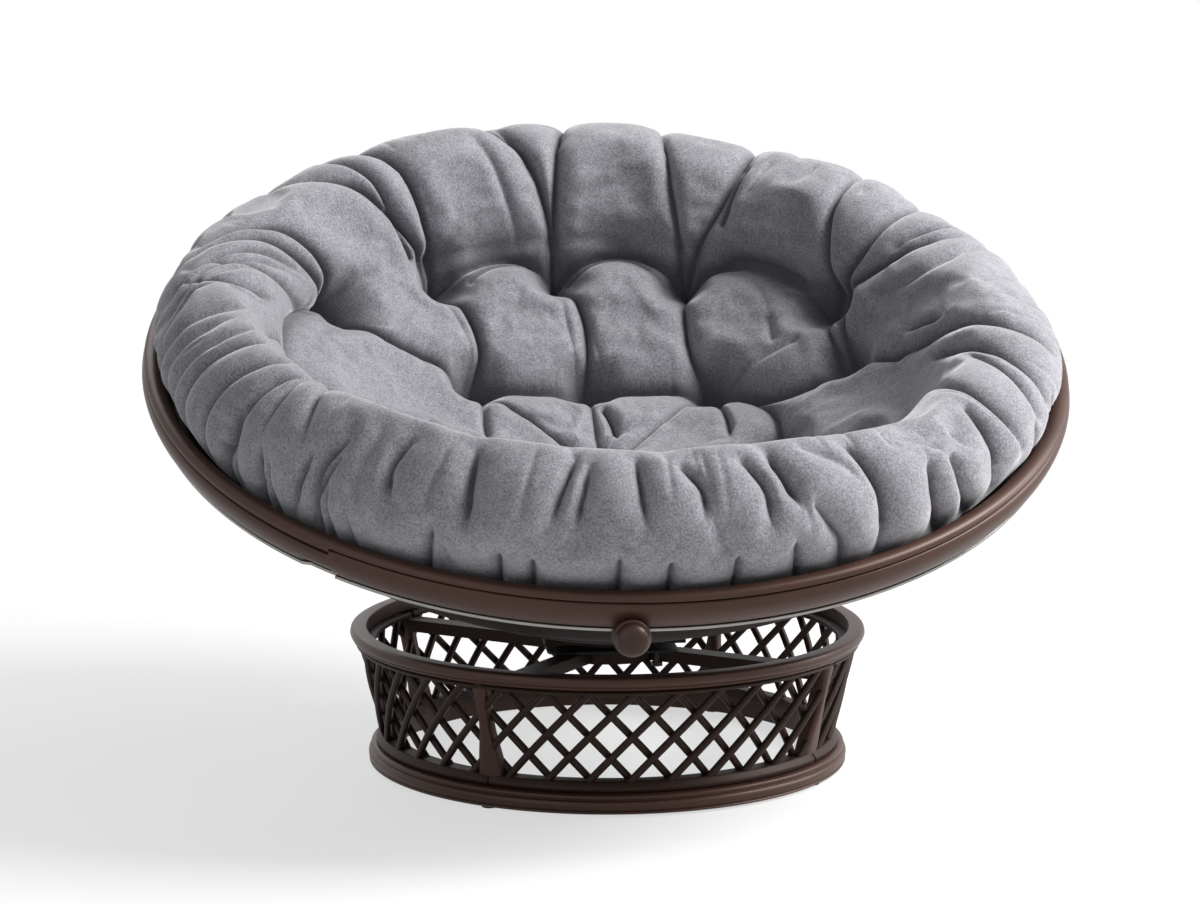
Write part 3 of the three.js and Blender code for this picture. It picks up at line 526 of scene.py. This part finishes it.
# A rib is an arc about the dish's centre, between two angles from the axis in radians.
RIBS, RIB_CENTRE, RIB_HALF_DEPTH, RIB_HALF_WIDTH = 12, 0.65837, 0.0087, 0.007
RIB_FROM, RIB_TO, RIB_STEPS, ROD_SIDES = 0.0821, 0.8345, 40, 14
along = np.linspace(RIB_FROM, RIB_TO, RIB_STEPS)[:, None]
spoke = np.linspace(0, 2 * math.pi, ROD_SIDES, endpoint=False)[None]
depth = RIB_CENTRE - RIB_HALF_DEPTH * np.cos(spoke)
out = depth * np.sin(along)
rib_height = DISH_CENTRE - depth * np.cos(along)
wide = RIB_HALF_WIDTH * np.sin(spoke) + 0 * along
for number in range(RIBS):
    angle = 2 * math.pi * (number + 0.5) / RIBS
    rib = np.stack([out * math.sin(angle) + wide * math.cos(angle),
                    -out * math.cos(angle) + wide * math.sin(angle), rib_height], -1)
    dress(mesh_of(f"bent_rib_{number + 1}", [lay(rib)]), "bowl", "dark_bronze_steel", dark_bronze,
          f"dish_rib_{number + 1}")

HOOP_RODS, HOOP_ROD_SIDES = {"middle_hoop": 0.007, "rim_hoop": 0.008}, 16
for node, rod_radius in HOOP_RODS.items():
    radius, height = in_bowl(node)
    middle = np.array([radius.min() + radius.max(), height.min() + height.max()]) / 2
    spoke = np.linspace(0, 2 * math.pi, HOOP_ROD_SIDES, endpoint=False)
    outline = middle + rod_radius * np.stack([np.cos(spoke), np.sin(spoke)], -1)
    dress(mesh_of(f"round_{node}", [lay(turned(outline, RING_SIDES))], loop_rows=True), "bowl",
          "dark_bronze_steel", dark_bronze, node)
paint_solid("hub_disc", dark_bronze)


# Rim: a wide band with a full outer curve, a half-round bead on top across a fine groove, and a
# thin metal lip below, coloured pale grey as a painted highlight along the band's foot. The lug for
# the hand screw is moulded with the band.
BAND_SHARES = [(0, 0), (0.3, 0), (0.58, 0.08), (0.85, 0.36), (1, 0.68), (0.97, 0.88), (0.88, 1),
               (0, 1)]
BEAD_SHARES = [(0, 0), (0.95, 0), (1, 0.35), (0.84, 0.84), (0.45, 1), (0.08, 0.6)]
LIP_SHARES = [(0, 0.2), (0.5, 0), (1, 0.35), (0.95, 1), (0, 1)]
RIM_RADIUS, RIM_SIDES = 0.530, 288
BAND_WIDTH, BAND_BASE, BAND_TOP, BAND_ROUND = 0.026, -0.026, 0.011, 0.006
BEAD_WIDTH, BEAD_HEIGHT, BEAD_SET_IN, BEAD_ROUND = 0.020, 0.009, 0.002, 0.004
LIP_WIDTH, LIP_HEIGHT, LIP_INSIDE, LIP_BELOW, LIP_ROUND = 0.007, 0.005, 0.020, 0.0053, 0.0012
# The mouldings are closed by a lap joint at the front left: left of it the bead is deeper and the
# band starts lower, and the joint leaves a short dark notch in the band's foot and the lip.
LAP_TURN, LAP_FADE, LAP_DROP = math.radians(-38.5), math.radians(34), 0.0060
NOTCH_TURN, NOTCH_DEPTH = math.radians(5), 0.0045
NOTCH_TOP, NOTCH_SLOPE = -0.012, 0.010
HAIR = 3e-4
joint_turns = LAP_TURN + np.array([-HAIR, HAIR, -NOTCH_TURN, -0.7 * NOTCH_TURN])
rim_turns = np.linspace(-math.pi, math.pi, RIM_SIDES, endpoint=False)
rim_turns = np.sort(np.concatenate([rim_turns, joint_turns]))
behind = LAP_TURN - rim_turns
lap = np.where((behind > 0) & (behind < LAP_FADE), 1 - behind / LAP_FADE, 0)[:, None]
notch = np.where((behind > 0) & (behind < 0.99 * NOTCH_TURN), 1.0, 0)[:, None]


def rim_ring(shares, size, base, corner, lapped, notched):
    """A closed outline carried round the rim's turns. Left of the joint its points sink by a
    share of the drop, and at the notch they move inwards by a share of its depth: lapped and
    notched give these shares for a height."""
    outline = rounded(np.array(shares) * size + base, corner, 6)
    height = outline[None, :, 1] - LAP_DROP * lap * lapped(outline[:, 1])[None]
    radius = outline[None, :, 0] - NOTCH_DEPTH * notch * notched(outline[:, 1])[None]
    turn = rim_turns[:, None]
    return lay(np.stack([radius * np.sin(turn), -radius * np.cos(turn), height + 0 * turn], -1))


band = rim_ring(BAND_SHARES, [BAND_WIDTH, BAND_TOP - BAND_BASE],
                [RIM_RADIUS - BAND_WIDTH, BAND_BASE], BAND_ROUND,
                lambda height: np.clip(height / BAND_TOP, 0, 1),
                lambda height: np.clip((NOTCH_TOP - height) / NOTCH_SLOPE, 0, 1))
dress(mesh_of("curved_band", [band], loop_rows=True), "bowl", "bronze_moulding", bronze,
      "rim_band")
bead = rim_ring(BEAD_SHARES, [BEAD_WIDTH, BEAD_HEIGHT],
                [RIM_RADIUS - BEAD_SET_IN - BEAD_WIDTH, BEAD_BASE], BEAD_ROUND,
                lambda height: np.clip(1 - (height - BEAD_BASE) / (BEAD_HEIGHT / 2), 0, 1),
                lambda height: 0 * height)
dress(mesh_of("half_round_bead", [bead], loop_rows=True), "bowl", "bronze_moulding", bronze,
      "rim_bead")
# Painted highlight: the metal lip is coloured pale grey so that it shows as a bright line along the
# foot of the band.
lip_highlight = principled("grey_trim", (0.18, 0.165, 0.155), 0.32, 0.7)
cloud = lip_highlight.noise(40, 3, lip_highlight.place)
brush = lip_highlight.noise(800, 2, lip_highlight.place)
set_shade(lip_highlight, Base_Color=lip_highlight.mix(cloud, (0.20, 0.188, 0.18), (0.36, 0.345, 0.33)),
          Roughness=0.26 + 0.16 * brush)
lip = rim_ring(LIP_SHARES, [LIP_WIDTH, LIP_HEIGHT],
               [RIM_RADIUS - LIP_INSIDE, BAND_BASE - LIP_BELOW], LIP_ROUND,
               lambda height: 0 * height, lambda height: 1 + 0 * height)
dress(mesh_of("highlight_lip", [lip], loop_rows=True), "bowl", "grey_trim", lip_highlight.owner, "rim_lip")


# Lug and hand screw: a round boss moulded under the front of the band, and a moulded domed knob
# on a steel stud that clamps the rim to the skirt. The knob is smooth, with a small neck behind.
screw = next(j for j in frame["joints"] if j["name"] == "knob_turn")
SCREW_AXIS = np.array(screw["axis"])
SCREW_PLACE = np.array(screw["pos_m"])
screw_side = np.cross([0.0, 0.0, 1.0], SCREW_AXIS)
screw_side /= np.linalg.norm(screw_side)
SCREW = np.stack([screw_side, np.cross(SCREW_AXIS, screw_side), SCREW_AXIS])
LUG_RADIUS, LUG_LENGTH, LUG_SET_BACK, LUG_ROUND = 0.0198, 0.040, 0.0003, 0.003
KNOB_SIDES = 64
outline = rounded([(ON_AXIS, -LUG_LENGTH), (LUG_RADIUS, -LUG_LENGTH),
                   (LUG_RADIUS, -LUG_SET_BACK), (ON_AXIS, -LUG_SET_BACK)], LUG_ROUND)
lug = mesh_of("lug", [SCREW_PLACE + spun(outline, KNOB_SIDES) @ SCREW])
dress(lug, "bowl", "bronze_moulding", bronze)

KNOB_RADIUS, KNOB_HEIGHT, KNOB_EDGE, DOME_FULLNESS = 0.018, 0.013, 0.001, 0.8
NECK, NECK_HEIGHT = 0.011, 0.003
dome = np.linspace(0, math.pi / 2, 16)
dome_height = NECK_HEIGHT + KNOB_EDGE + (KNOB_HEIGHT - KNOB_EDGE) * np.sin(dome)
outline = np.concatenate([
    [(ON_AXIS, 0.0), (NECK, 0.0), (NECK, NECK_HEIGHT), (KNOB_RADIUS - KNOB_EDGE, NECK_HEIGHT)],
    np.stack([KNOB_RADIUS * np.cos(dome) ** DOME_FULLNESS, dome_height], -1)])
outline[-1, 0] = ON_AXIS
# The knob's bronze is a darker copy of the rim's bronze: painted shade for the shadow that the band
# casts over the knob.
shaded_knob_bronze = satin_paint("shaded_knob_bronze", (0.022, 0.010, 0.0070), (0.046, 0.022, 0.0160), 0.36)
knob = mesh_of("domed_knob", [SCREW_PLACE + spun(outline, KNOB_SIDES) @ SCREW])
dress(knob, "knob", "bronze_moulding", shaded_knob_bronze, "hand_knob")


# Cushion: a round suede cover over loose filling, drawn down by tufts on two rings and one in the
# middle, with a fat roll round its edge. The cover folds from tuft to tuft and over the roll, and
# bunches where it is sewn to the smooth underside.
SEAT_SPHERE, PAD_SPHERE, SEAT_END = 0.5586, 0.6486, 0.345
ROLL = np.array([(SEAT_END, on_sphere(SEAT_SPHERE, SEAT_END)), (0.388, 0.060), (0.432, 0.096),
                 (0.4847, 0.0825), (0.513, 0.042), (0.494, 0.0), (0.4874, -0.0064)])
COLUMNS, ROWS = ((1200, 300))


def spline(points, steps):
    """A smooth curve through the points: each span is a cubic whose slope at a point is half of
    the way from the point before it to the point after it."""
    padded = np.concatenate([[2 * points[0] - points[1]], points, [2 * points[-1] - points[-2]]])
    before, start, end, after = (padded[i:len(padded) - 3 + i, None] for i in range(4))
    t = np.linspace(0, 1, steps, endpoint=False)[None, :, None]
    square = 2 * before - 5 * start + 4 * end - after
    cube = 3 * start - before - 3 * end + after
    curve = 0.5 * (2 * start + (end - before) * t + square * t ** 2 + cube * t ** 3)
    return np.concatenate([curve.reshape(-1, 2), points[-1:]])


seat_radius = np.linspace(0, SEAT_END, 200, endpoint=False)
profile = np.concatenate([np.stack([seat_radius, on_sphere(SEAT_SPHERE, seat_radius)], -1),
                          spline(ROLL, 60)])
travel = np.concatenate([[0], np.cumsum(np.linalg.norm(np.diff(profile, axis=0), axis=1))])
EDGE, MIDDLE_HOLE = travel[-1], 0.003
rows = np.linspace(MIDDLE_HOLE, EDGE, ROWS)
angles = np.linspace(0, 2 * math.pi, COLUMNS, endpoint=False)


def pad_at(way, angle):
    """Point of the smooth pad at a distance from its middle along the cover, and at an angle: the
    profile's radius and height at that distance, turned round the axis."""
    radius = np.interp(way, travel, profile[:, 0])
    height = np.interp(way, travel, profile[:, 1])
    return np.stack([radius * np.sin(angle), -radius * np.cos(angle), height + 0 * angle], -1)


cover = pad_at(rows[:, None], angles[None])
slope = np.gradient(np.stack([np.interp(rows, travel, profile[:, 0]),
                              np.interp(rows, travel, profile[:, 1])], -1), axis=0)
slope /= np.linalg.norm(slope, axis=1, keepdims=True)
outward = np.stack([-slope[:, 1, None] * np.sin(angles), slope[:, 1, None] * np.cos(angles),
                    slope[:, 0, None] + 0 * angles], -1)

# Tufts as (degrees from the front, millimetres along the cover from its middle).
OUTER_TUFTS = [(0, 340), (31, 345), (72, 300), (109, 327), (125, 363), (158, 337), (185, 334),
               (210, 351), (237, 372), (272, 362), (300, 350), (330, 345)]
INNER_TUFTS = [(0, 190), (45, 200), (88, 200), (137, 206), (181, 170), (221, 210), (272, 205),
               (315, 200)]

# Folds as (start angle, start distance, end angle, end distance, sideways bow, bow along), in
# degrees and millimetres, by kind. Each kind has the depth and reach of its sharp line, and the
# depth and reach of the soft hollow round it, in metres.
KINDS = {"deep": (0.010, 0.0038, 0.015, 0.018), "fold": (0.008, 0.0034, 0.010, 0.012),
         "soft": (0.0020, 0.005, 0.007, 0.013), "edge": (0.008, 0.0030, 0.007, 0.012),
         "lobe": (0.010, 0.0045, 0.032, 0.026), "crimp": (0.0030, 0.0024, 0.003, 0.008)}
FOLDS = {
    "deep": [
        (210, 351, 215, 610, -1, -4), (211, 355, 233, 612, -1, 2), (185, 334, 195, 590, -2, 1),
        (185, 334, 181, 600, 1, 0), (158, 337, 153, 610, -3, 0), (125, 363, 125, 610, -3, -1),
        (125, 363, 112, 556, -3, 1), (84, 425, 68, 611, -2, -7), (52, 545, 50, 648, 0, 0),
        (38, 585, 40, 676, -1, 1), (28, 540, 29, 655, 1, 0), (16, 532, 18, 595, 0, 0),
        (337, 538, 338, 611, 0, 0), (237, 372, 253, 574, -5, -8), (237, 372, 258, 590, 0, 9),
        (268, 350, 282, 472, -5, 17), (302, 590, 300, 655, 1, 1), (210, 351, 221, 210, -4, -23),
        (185, 334, 181, 170, -3, 3), (158, 337, 137, 206, 2, -27), (237, 372, 221, 210, 4, 0),
        (109, 327, 94, 400, -2, 0), (94, 396, 79, 600, -2, 0)],
    "fold": [
        (216, 382, 220, 572, 0, 1), (188, 441, 192, 580, 0, 0), (158, 337, 167, 590, 1, -2),
        (152, 412, 151, 545, 0, 0), (125, 363, 135, 605, 2, -8), (117, 451, 115, 556, 0, 0),
        (99, 409, 92, 459, 0, 0), (75, 480, 63, 611, -2, -9), (71, 432, 56, 621, -6, -20),
        (42, 585, 46, 674, -1, 2), (12, 543, 14, 606, 1, 0), (20, 598, 24, 669, 1, 0),
        (4, 545, 6, 595, 1, -2), (358, 535, 359, 598, 0, 0), (350, 532, 348, 598, 0, 0),
        (352, 545, 351, 600, 0, 0), (328, 548, 328, 606, -1, 0), (320, 569, 318, 632, -1, 0),
        (320, 587, 318, 676, -1, 0), (316, 593, 314, 655, 0, 0), (308, 611, 308, 655, 0, 0),
        (245, 389, 262, 572, 4, -3), (262, 446, 266, 572, 4, -4), (293, 505, 290, 665, -1, 0),
        (300, 505, 296, 662, -1, 0), (305, 500, 303, 665, -1, 0), (204, 344, 189, 348, 0, 11),
        (182, 334, 162, 333, 0, 24), (119, 363, 109, 327, 0, -2), (122, 346, 111, 318, 0, 0),
        (174, 114, 158, 62, 0, -4), (225, 182, 253, 135, 0, -5), (131, 192, 102, 157, 0, -2)],
    "soft": [
        (210, 351, 213, 532, -2, -4), (192, 361, 197, 524, 0, 0), (187, 344, 186, 420, 0, 0),
        (156, 344, 156, 422, 0, 0), (150, 446, 148, 548, -1, 0), (112, 413, 107, 561, -4, -8),
        (96, 514, 102, 593, -1, 2), (7, 595, 9, 632, 0, 0), (36, 543, 41, 577, 1, -4),
        (335, 632, 336, 663, 0, 0), (324, 553, 325, 637, -1, 0), (266, 459, 270, 522, 2, -4),
        (279, 500, 278, 655, 0, 0), (288, 515, 286, 660, 0, 0), (283, 520, 282, 655, 0, 0),
        (241, 368, 226, 387, 0, 4), (237, 370, 223, 326, 2, -25), (180, 281, 175, 197, 1, 0),
        (214, 307, 222, 219, -2, -14), (186, 291, 184, 178, 0, 0), (155, 301, 145, 232, 0, 0),
        (123, 301, 135, 207, -1, 0), (134, 355, 127, 360, 0, 4), (150, 353, 134, 319, 0, 16),
        (133, 312, 127, 283, 0, 0), (21, 536, 27, 588, 1, -4)],
    "edge": [
        (356, 624, 356, 672, 0, 0), (2, 629, 2, 672, 0, 0), (10, 627, 10, 672, 0, 0),
        (346, 629, 346, 672, 0, 0), (342, 629, 342, 672, 0, 0), (334, 614, 333, 670, 0, 0),
        (17, 621, 18, 670, 0, 0)],
    "lobe": [
        (210, 351, 185, 334, -2, 23), (185, 334, 158, 337, 0, 29), (158, 337, 125, 363, 3, 25),
        (221, 210, 181, 170, 2, -14), (181, 170, 137, 206, 0, -14), (137, 206, 109, 327, -9, -22)]}

# A fade is the share of a fold's depth that its start and its end have.
SEAM_FADE, EVEN_FADE, FAINT_FADE, FOLD_END = (0.2, 1.0), (1.0, 1.0), (0.2, 0.2), 0.35
PATH_STEPS, FOLD_REACH, FOLD_ROUND = 20, 3.5, 0.001
creased = np.zeros(cover.shape[:2])
hollow = np.zeros(cover.shape[:2])


def deeper(first, second):
    """The cube root of the summed cubes of two depths, which is nearly the greater one."""
    return (first ** 3 + second ** 3) ** (1 / 3)


def draw_in(kind, row, strength=1.0, fade=(1.0, 0.5)):
    """Adds one fold to creased and hollow. Its path is a straight line in angle and distance with
    half a sine wave of the bow added. Its depth rises from the first fade over a quarter of the
    path and falls to the second over the last quarter. Beside the path it falls off as the
    exponential of the distance, rounded over the nearest millimetre."""
    sharp, sharp_reach, wide, wide_reach = KINDS[kind]
    start_angle, start, end_angle, end, bow_angle, bow = row
    turn = (end_angle - start_angle + 180) % 360 - 180
    t = np.linspace(0, 1, PATH_STEPS)
    wave = np.sin(math.pi * t)
    path = pad_at((start + (end - start) * t + bow * wave) / 1000,
                  np.radians(start_angle + turn * t + bow_angle * wave))
    share = strength * np.interp(t, [0, 0.25, 0.75, 1], [fade[0], 1.0, 1.0, fade[1]])
    reach = FOLD_REACH * wide_reach
    near = np.all((cover > path.min(0) - reach) & (cover < path.max(0) + reach), axis=-1)
    spots = cover[near][:, None]
    step = np.diff(path, axis=0)
    part = np.clip(np.sum((spots - path[:-1]) * step, -1) / np.sum(step ** 2, -1), 0, 1)
    gap = np.linalg.norm(spots - path[:-1] - part[..., None] * step, axis=-1)
    nearest = gap.argmin(1)
    pick = np.arange(len(nearest))
    gap = np.sqrt(gap[pick, nearest] ** 2 + FOLD_ROUND ** 2) - FOLD_ROUND
    share = np.interp(nearest + part[pick, nearest], np.arange(PATH_STEPS), share)
    creased[near] = deeper(creased[near], share * sharp * np.exp(-gap / sharp_reach))
    hollow[near] = deeper(hollow[near], share * wide * np.exp(-gap / wide_reach))


# A fold that starts near a tuft starts deep, one that starts on the wall starts faintly, and one
# that starts on the crest starts at little over half its depth. The folds at the seam end deep.
START_WAYS, START_SHARES = (420, 430, 525, 535), (1.0, 0.15, 0.15, 0.6)
for kind, folds in FOLDS.items():
    for row in folds:
        started = np.interp(row[1], START_WAYS, START_SHARES)
        draw_in(kind, row, fade=SEAM_FADE if kind == "edge" else (started, FOLD_END))

# The folds that the view from the front hides follow the same habits, drawn by seeded chance:
# lobes and folds from tuft to tuft, and gathers at the seam. Two fans of folds from a tuft over
# the roll, and fine crimps all round it, are drawn by chance too. A fan is written as the tuft's
# angle and distance, the first and last angle at its end, and the count of its folds.
LOBES_IN_VIEW = (72, 109, 125, 158, 185, 210)
WALL_IN_VIEW, SEAT_IN_VIEW = (95, 250), (120, 225)
TUFTS_WITHOUT_FOLDS = (31, 72, 272)
SMALL_FOLDS = (-8, 0, 9)
HIDDEN_LOBE_BOW, HIDDEN_INNER_BOW, HIDDEN_STRENGTH = 34, 18, 0.8
SEAM, SEAM_ANGLES, BACK_ANGLES = 674, np.arange(60, 330, 6.0), np.arange(100, 262, 9.0)
FANS = [(237, 380, 262, 278, 4), (300, 360, 308, 316, 2)]
CRIMPS = 90
dice = np.random.default_rng(11)
for (angle, way), following in zip(OUTER_TUFTS, OUTER_TUFTS[1:] + OUTER_TUFTS[:1]):
    if angle not in LOBES_IN_VIEW:
        bow = HIDDEN_LOBE_BOW + dice.uniform(-6, 6)
        draw_in("lobe", (angle, way, *following, 0, bow), fade=EVEN_FADE)
    if not WALL_IN_VIEW[0] < angle < WALL_IN_VIEW[1]:
        spread = dice.uniform(-4, 4)
        for beside in SMALL_FOLDS if angle not in TUFTS_WITHOUT_FOLDS else ():
            end_angle = angle + beside + spread
            draw_in("fold" if beside else "deep",
                    (angle, way, end_angle, dice.uniform(420, 450), 0, 0))
        inward = min(INNER_TUFTS, key=lambda one: abs((one[0] - angle + 180) % 360 - 180))
        draw_in("deep", (angle, way, *inward, dice.uniform(-3, 3), 0), HIDDEN_STRENGTH, EVEN_FADE)
for (angle, way), following in zip(INNER_TUFTS, INNER_TUFTS[1:] + INNER_TUFTS[:1]):
    if not SEAT_IN_VIEW[0] < angle < SEAT_IN_VIEW[1]:
        draw_in("lobe", (angle, way, *following, 0, HIDDEN_INNER_BOW), HIDDEN_STRENGTH, EVEN_FADE)
    draw_in("fold", (angle, way, angle, 10, 0, 0), HIDDEN_STRENGTH, EVEN_FADE)
for angle in SEAM_ANGLES + dice.uniform(-2.5, 2.5, SEAM_ANGLES.size):
    draw_in("edge", (angle, dice.uniform(600, 640), angle + dice.uniform(-1, 1), SEAM, 0, 0),
            dice.uniform(0.4, 1.1), SEAM_FADE)
for angle in BACK_ANGLES + dice.uniform(-4, 4, BACK_ANGLES.size):
    draw_in("fold", (angle, dice.uniform(560, 590), angle + dice.uniform(-3, 3),
                     dice.uniform(620, 660), 0, 0), dice.uniform(0.4, 1.0), (0.3, 0.3))
for tuft_angle, tuft_way, first, last, count in FANS:
    for end_angle in np.linspace(first, last, count):
        reach = dice.uniform(0.15, 0.45)
        kind = "fold" if dice.uniform() < 0.6 else "soft"
        start_angle = tuft_angle + 1.4 * reach * (end_angle - tuft_angle)
        draw_in(kind, (start_angle, tuft_way + 260 * reach, end_angle + dice.uniform(-1, 1),
                       dice.uniform(560, 650), dice.uniform(-1, 1), 0),
                dice.uniform(0.5, 1.0), FAINT_FADE)
for _ in range(CRIMPS):
    angle, way = dice.uniform(0, 360), dice.uniform(500, 600)
    length = dice.uniform(20, 90)
    draw_in("crimp", (angle, way, angle + dice.uniform(-1, 1), way + length, 0, 0),
            dice.uniform(0.3, 0.9), FAINT_FADE)

# Each tuft pulls a round pit with a narrow core. Two of them are drawn less tightly.
TUFT_PULL, TUFT_REACH = 0.056, 0.032
CORE_PULL, CORE_REACH = 0.012, 0.007
TUFT_TIGHTNESS = {125: 0.88, 237: 0.72}
pits = np.zeros(cover.shape[:2])
for angle, way in OUTER_TUFTS + INNER_TUFTS + [(0, 0)]:
    tuft = pad_at(np.array(way / 1000), np.array(math.radians(angle)))
    gap = np.linalg.norm(cover - tuft, axis=-1)
    pull = TUFT_TIGHTNESS.get(angle, 1.0) * TUFT_PULL * np.exp(-(gap / TUFT_REACH) ** 2)
    pits = deeper(pits, pull + CORE_PULL * np.exp(-gap / CORE_REACH))

# The loose filling makes the cover uneven by slow waves of chance. Near the seam the folds stay
# and the rest fades out.
LUMPS, LUMP_HEIGHT, FULLNESS = 16, 0.010, 0.003
SEAM_REACH, SEAM_GATHER = 0.04, 0.7
lumps = np.zeros(cover.shape[:2])
for _ in range(LUMPS):
    way = dice.normal(0, 1, 3)
    way *= dice.uniform(16, 40) / np.linalg.norm(way)
    lumps += np.cos(cover @ way + dice.uniform(0, 2 * math.pi)) / LUMPS
level = np.clip((EDGE - rows) / SEAM_REACH, 0, 1)[:, None]
shift = (FULLNESS + LUMP_HEIGHT * lumps - np.hypot(pits, hollow) - creased) * level
shift -= SEAM_GATHER * creased * (1 - level)

# Height of the roll's crest above its even height, in millimetres by degrees: fuller in front and
# lower behind, on the right most of all. The filling has also slumped as a whole towards the front
# left.
CREST = [(0, 30), (5, 32), (15, 28), (25, 27), (33, 16), (42, 2), (60, 0), (90, -3), (112, -9),
         (130, -5), (140, -4), (152, -12), (160, -8), (168, -1), (180, 1), (200, 0), (215, -5),
         (228, -8), (245, -4), (258, 0), (275, 5), (290, 8), (300, 15), (312, 22), (322, 22),
         (332, 16), (340, 16), (352, 24)]
SLUMP, SLUMP_TURN = 15.0, -40.0
lift = np.interp(np.degrees(angles), *np.array(CREST + [(360, CREST[0][1])], float).T)
kernel = np.exp(-np.linspace(-2, 2, COLUMNS // 15 * 2 + 1) ** 2)
lift = np.convolve(np.tile(lift, 3), kernel / kernel.sum(), "same")[COLUMNS:2 * COLUMNS]
lift = (lift + SLUMP * np.cos(angles - math.radians(SLUMP_TURN))) / 1000
rise = lift * np.clip(cover[..., 2] / ROLL[2, 1], 0, 1.1)
cover = cover + outward * (shift + creased)[..., None] + np.array([0, 0, 1.0]) * rise[..., None]

# The filling's push is simulated on every third point of the cover: the cover is a little too
# large for the pad, is held at its tufts and its edge, and buckles into wrinkles in between. The
# mean swelling of each row is taken out, so that the pad keeps its size.
COARSE, FRAMES = 3, 20
PUSH_LIMIT = 0.022
HELD_STEPS, HOLLOW_HELD = 8, 0.03


def blown(start, held):
    """Where the points of a grid that goes round once end up when the filling pushes it outwards
    for a number of frames, with held from 0 for free to 1 for sewn down."""
    sheet = mesh_of("cover_trial", [start], caps=False)
    sewn = sheet.vertex_groups.new(name="sewn")
    for step in np.unique(held):
        sewn.add(np.flatnonzero(held.ravel() == step).tolist(), float(step), "REPLACE")
    cloth = sheet.modifiers.new("cover_cloth", "CLOTH")
    cloth.settings.quality = 4
    cloth.settings.mass = 0.25
    cloth.settings.tension_stiffness = 18
    cloth.settings.compression_stiffness = 18
    cloth.settings.shear_stiffness = 8
    cloth.settings.bending_stiffness = 0.8
    cloth.settings.vertex_group_mass = "sewn"
    cloth.settings.shrink_min = -0.018
    cloth.settings.use_pressure = True
    cloth.settings.uniform_pressure_force = 4
    cloth.settings.effector_weights.gravity = 0
    cloth.collision_settings.use_collision = False
    cloth.collision_settings.use_self_collision = False
    cloth.point_cache.frame_start, cloth.point_cache.frame_end = 1, FRAMES
    for number in range(1, FRAMES + 1):
        scene.frame_set(number)
    settled = sheet.evaluated_get(bpy.context.evaluated_depsgraph_get()).to_mesh()
    ends = np.zeros(len(settled.vertices) * 3)
    settled.vertices.foreach_get("co", ends)
    bpy.data.objects.remove(sheet)
    scene.frame_set(1)
    return ends.reshape(start.shape)


trial = cover[::COARSE, ::COARSE]
held = np.clip(pits[::COARSE, ::COARSE] / TUFT_PULL, 0, 1) ** 2
held = np.maximum(held, np.clip(hollow[::COARSE, ::COARSE] / HOLLOW_HELD, 0, 0.5))
held = np.round(held * HELD_STEPS) / HELD_STEPS
held[0] = held[-3:] = 1
push = blown(trial, held) - trial
length = np.linalg.norm(push, axis=-1, keepdims=True)
push *= PUSH_LIMIT * np.tanh(length / PUSH_LIMIT) / np.maximum(length, 1e-9)
facing = outward[::COARSE, ::COARSE]
swelling = np.sum(push * facing, -1, keepdims=True)
push -= facing * swelling.mean(1, keepdims=True)
round_pad = np.arange(COLUMNS) / COARSE
first = round_pad.astype(int) % push.shape[1]
part = (round_pad % 1)[None, :, None]
push = push[:, first] * (1 - part) + push[:, (first + 1) % push.shape[1]] * part
down_pad = np.minimum(np.arange(ROWS) / COARSE, len(push) - 1.001)
first = down_pad.astype(int)
part = (down_pad % 1)[:, None, None]
push = push[first] * (1 - part) + push[first + 1] * part
for turn in (1, 2):
    push = (np.roll(push, turn, 1) + push + np.roll(push, -turn, 1)) / 3
    padded = np.pad(push, ((turn, turn), (0, 0), (0, 0)), "edge")
    push = (padded[:-2 * turn] + padded[turn:-turn] + padded[2 * turn:]) / 3
cover = cover + push * level[..., None]
cover = cover - outward * creased[..., None]
UNDER_ROWS, UNDER_HOLE = 40, 0.004
under_radius = np.linspace(profile[-1, 0], UNDER_HOLE, UNDER_ROWS)[1:]
under = turned(np.stack([under_radius, on_sphere(PAD_SPHERE, under_radius)], -1), COLUMNS)
pad = mesh_of("tufted_cushion", [lay(np.concatenate([cover, under.transpose(1, 0, 2)]))])

# Suede: short grey nap. Painted shade darkens it in the creases, the tuft pits and the hollows
# round the folds, more where they are deeper. Where it lies smooth it keeps its paler colour.
# Crease, pit and hollow depths at which the painted shade in the folds is full.
DARK_CREASE, DARK_PIT, DARK_HOLLOW = 0.010, 0.09, 0.065
fold_shade_share = np.clip(creased / DARK_CREASE + pits / DARK_PIT + hollow / DARK_HOLLOW, 0, 1)
painted_fold_shade = np.zeros(len(pad.data.vertices))
painted_fold_shade[:fold_shade_share.size] = fold_shade_share.ravel()
pad.data.attributes.new("painted_fold_shade", "FLOAT", "POINT").data.foreach_set("value", painted_fold_shade)
suede = principled("suede", (0.22, 0.217, 0.238), 0.9, 0.0, Sheen_Weight=0.6, Sheen_Roughness=0.4,
                   Specular_IOR_Level=0.2)
cloud = suede.noise(9, 4, suede.place, 0.6)
nap = suede.noise(75, 4, suede.place, 0.75)
fibre = suede.noise(420, 3, suede.place, 0.8)
lie = cloud * 0.10 + nap * 0.22 + fibre * 0.68
colour = suede.mix(lie.smooth(0.36, 0.64), (0.145, 0.141, 0.155), (0.325, 0.318, 0.348))
# Painted shade: the colour is pulled towards near black where the fold depths stored on the points
# are large.
fold_shade = suede.node("ShaderNodeAttribute", {"attribute_name": "painted_fold_shade"}, output=2)
colour = suede.mix(0.7 * fold_shade.smooth(0.15, 1.0), colour, (0.060, 0.058, 0.063))
set_shade(suede, Base_Color=colour, Roughness=0.85 + 0.12 * nap,
          Normal=suede.node("ShaderNodeBump", {}, {"Height": fibre * 0.8 + nap * 0.2,
                                                   "Strength": 0.5, "Distance": 0.0016}))
dress(pad, "cushion", "suede", suede.owner, "cushion")
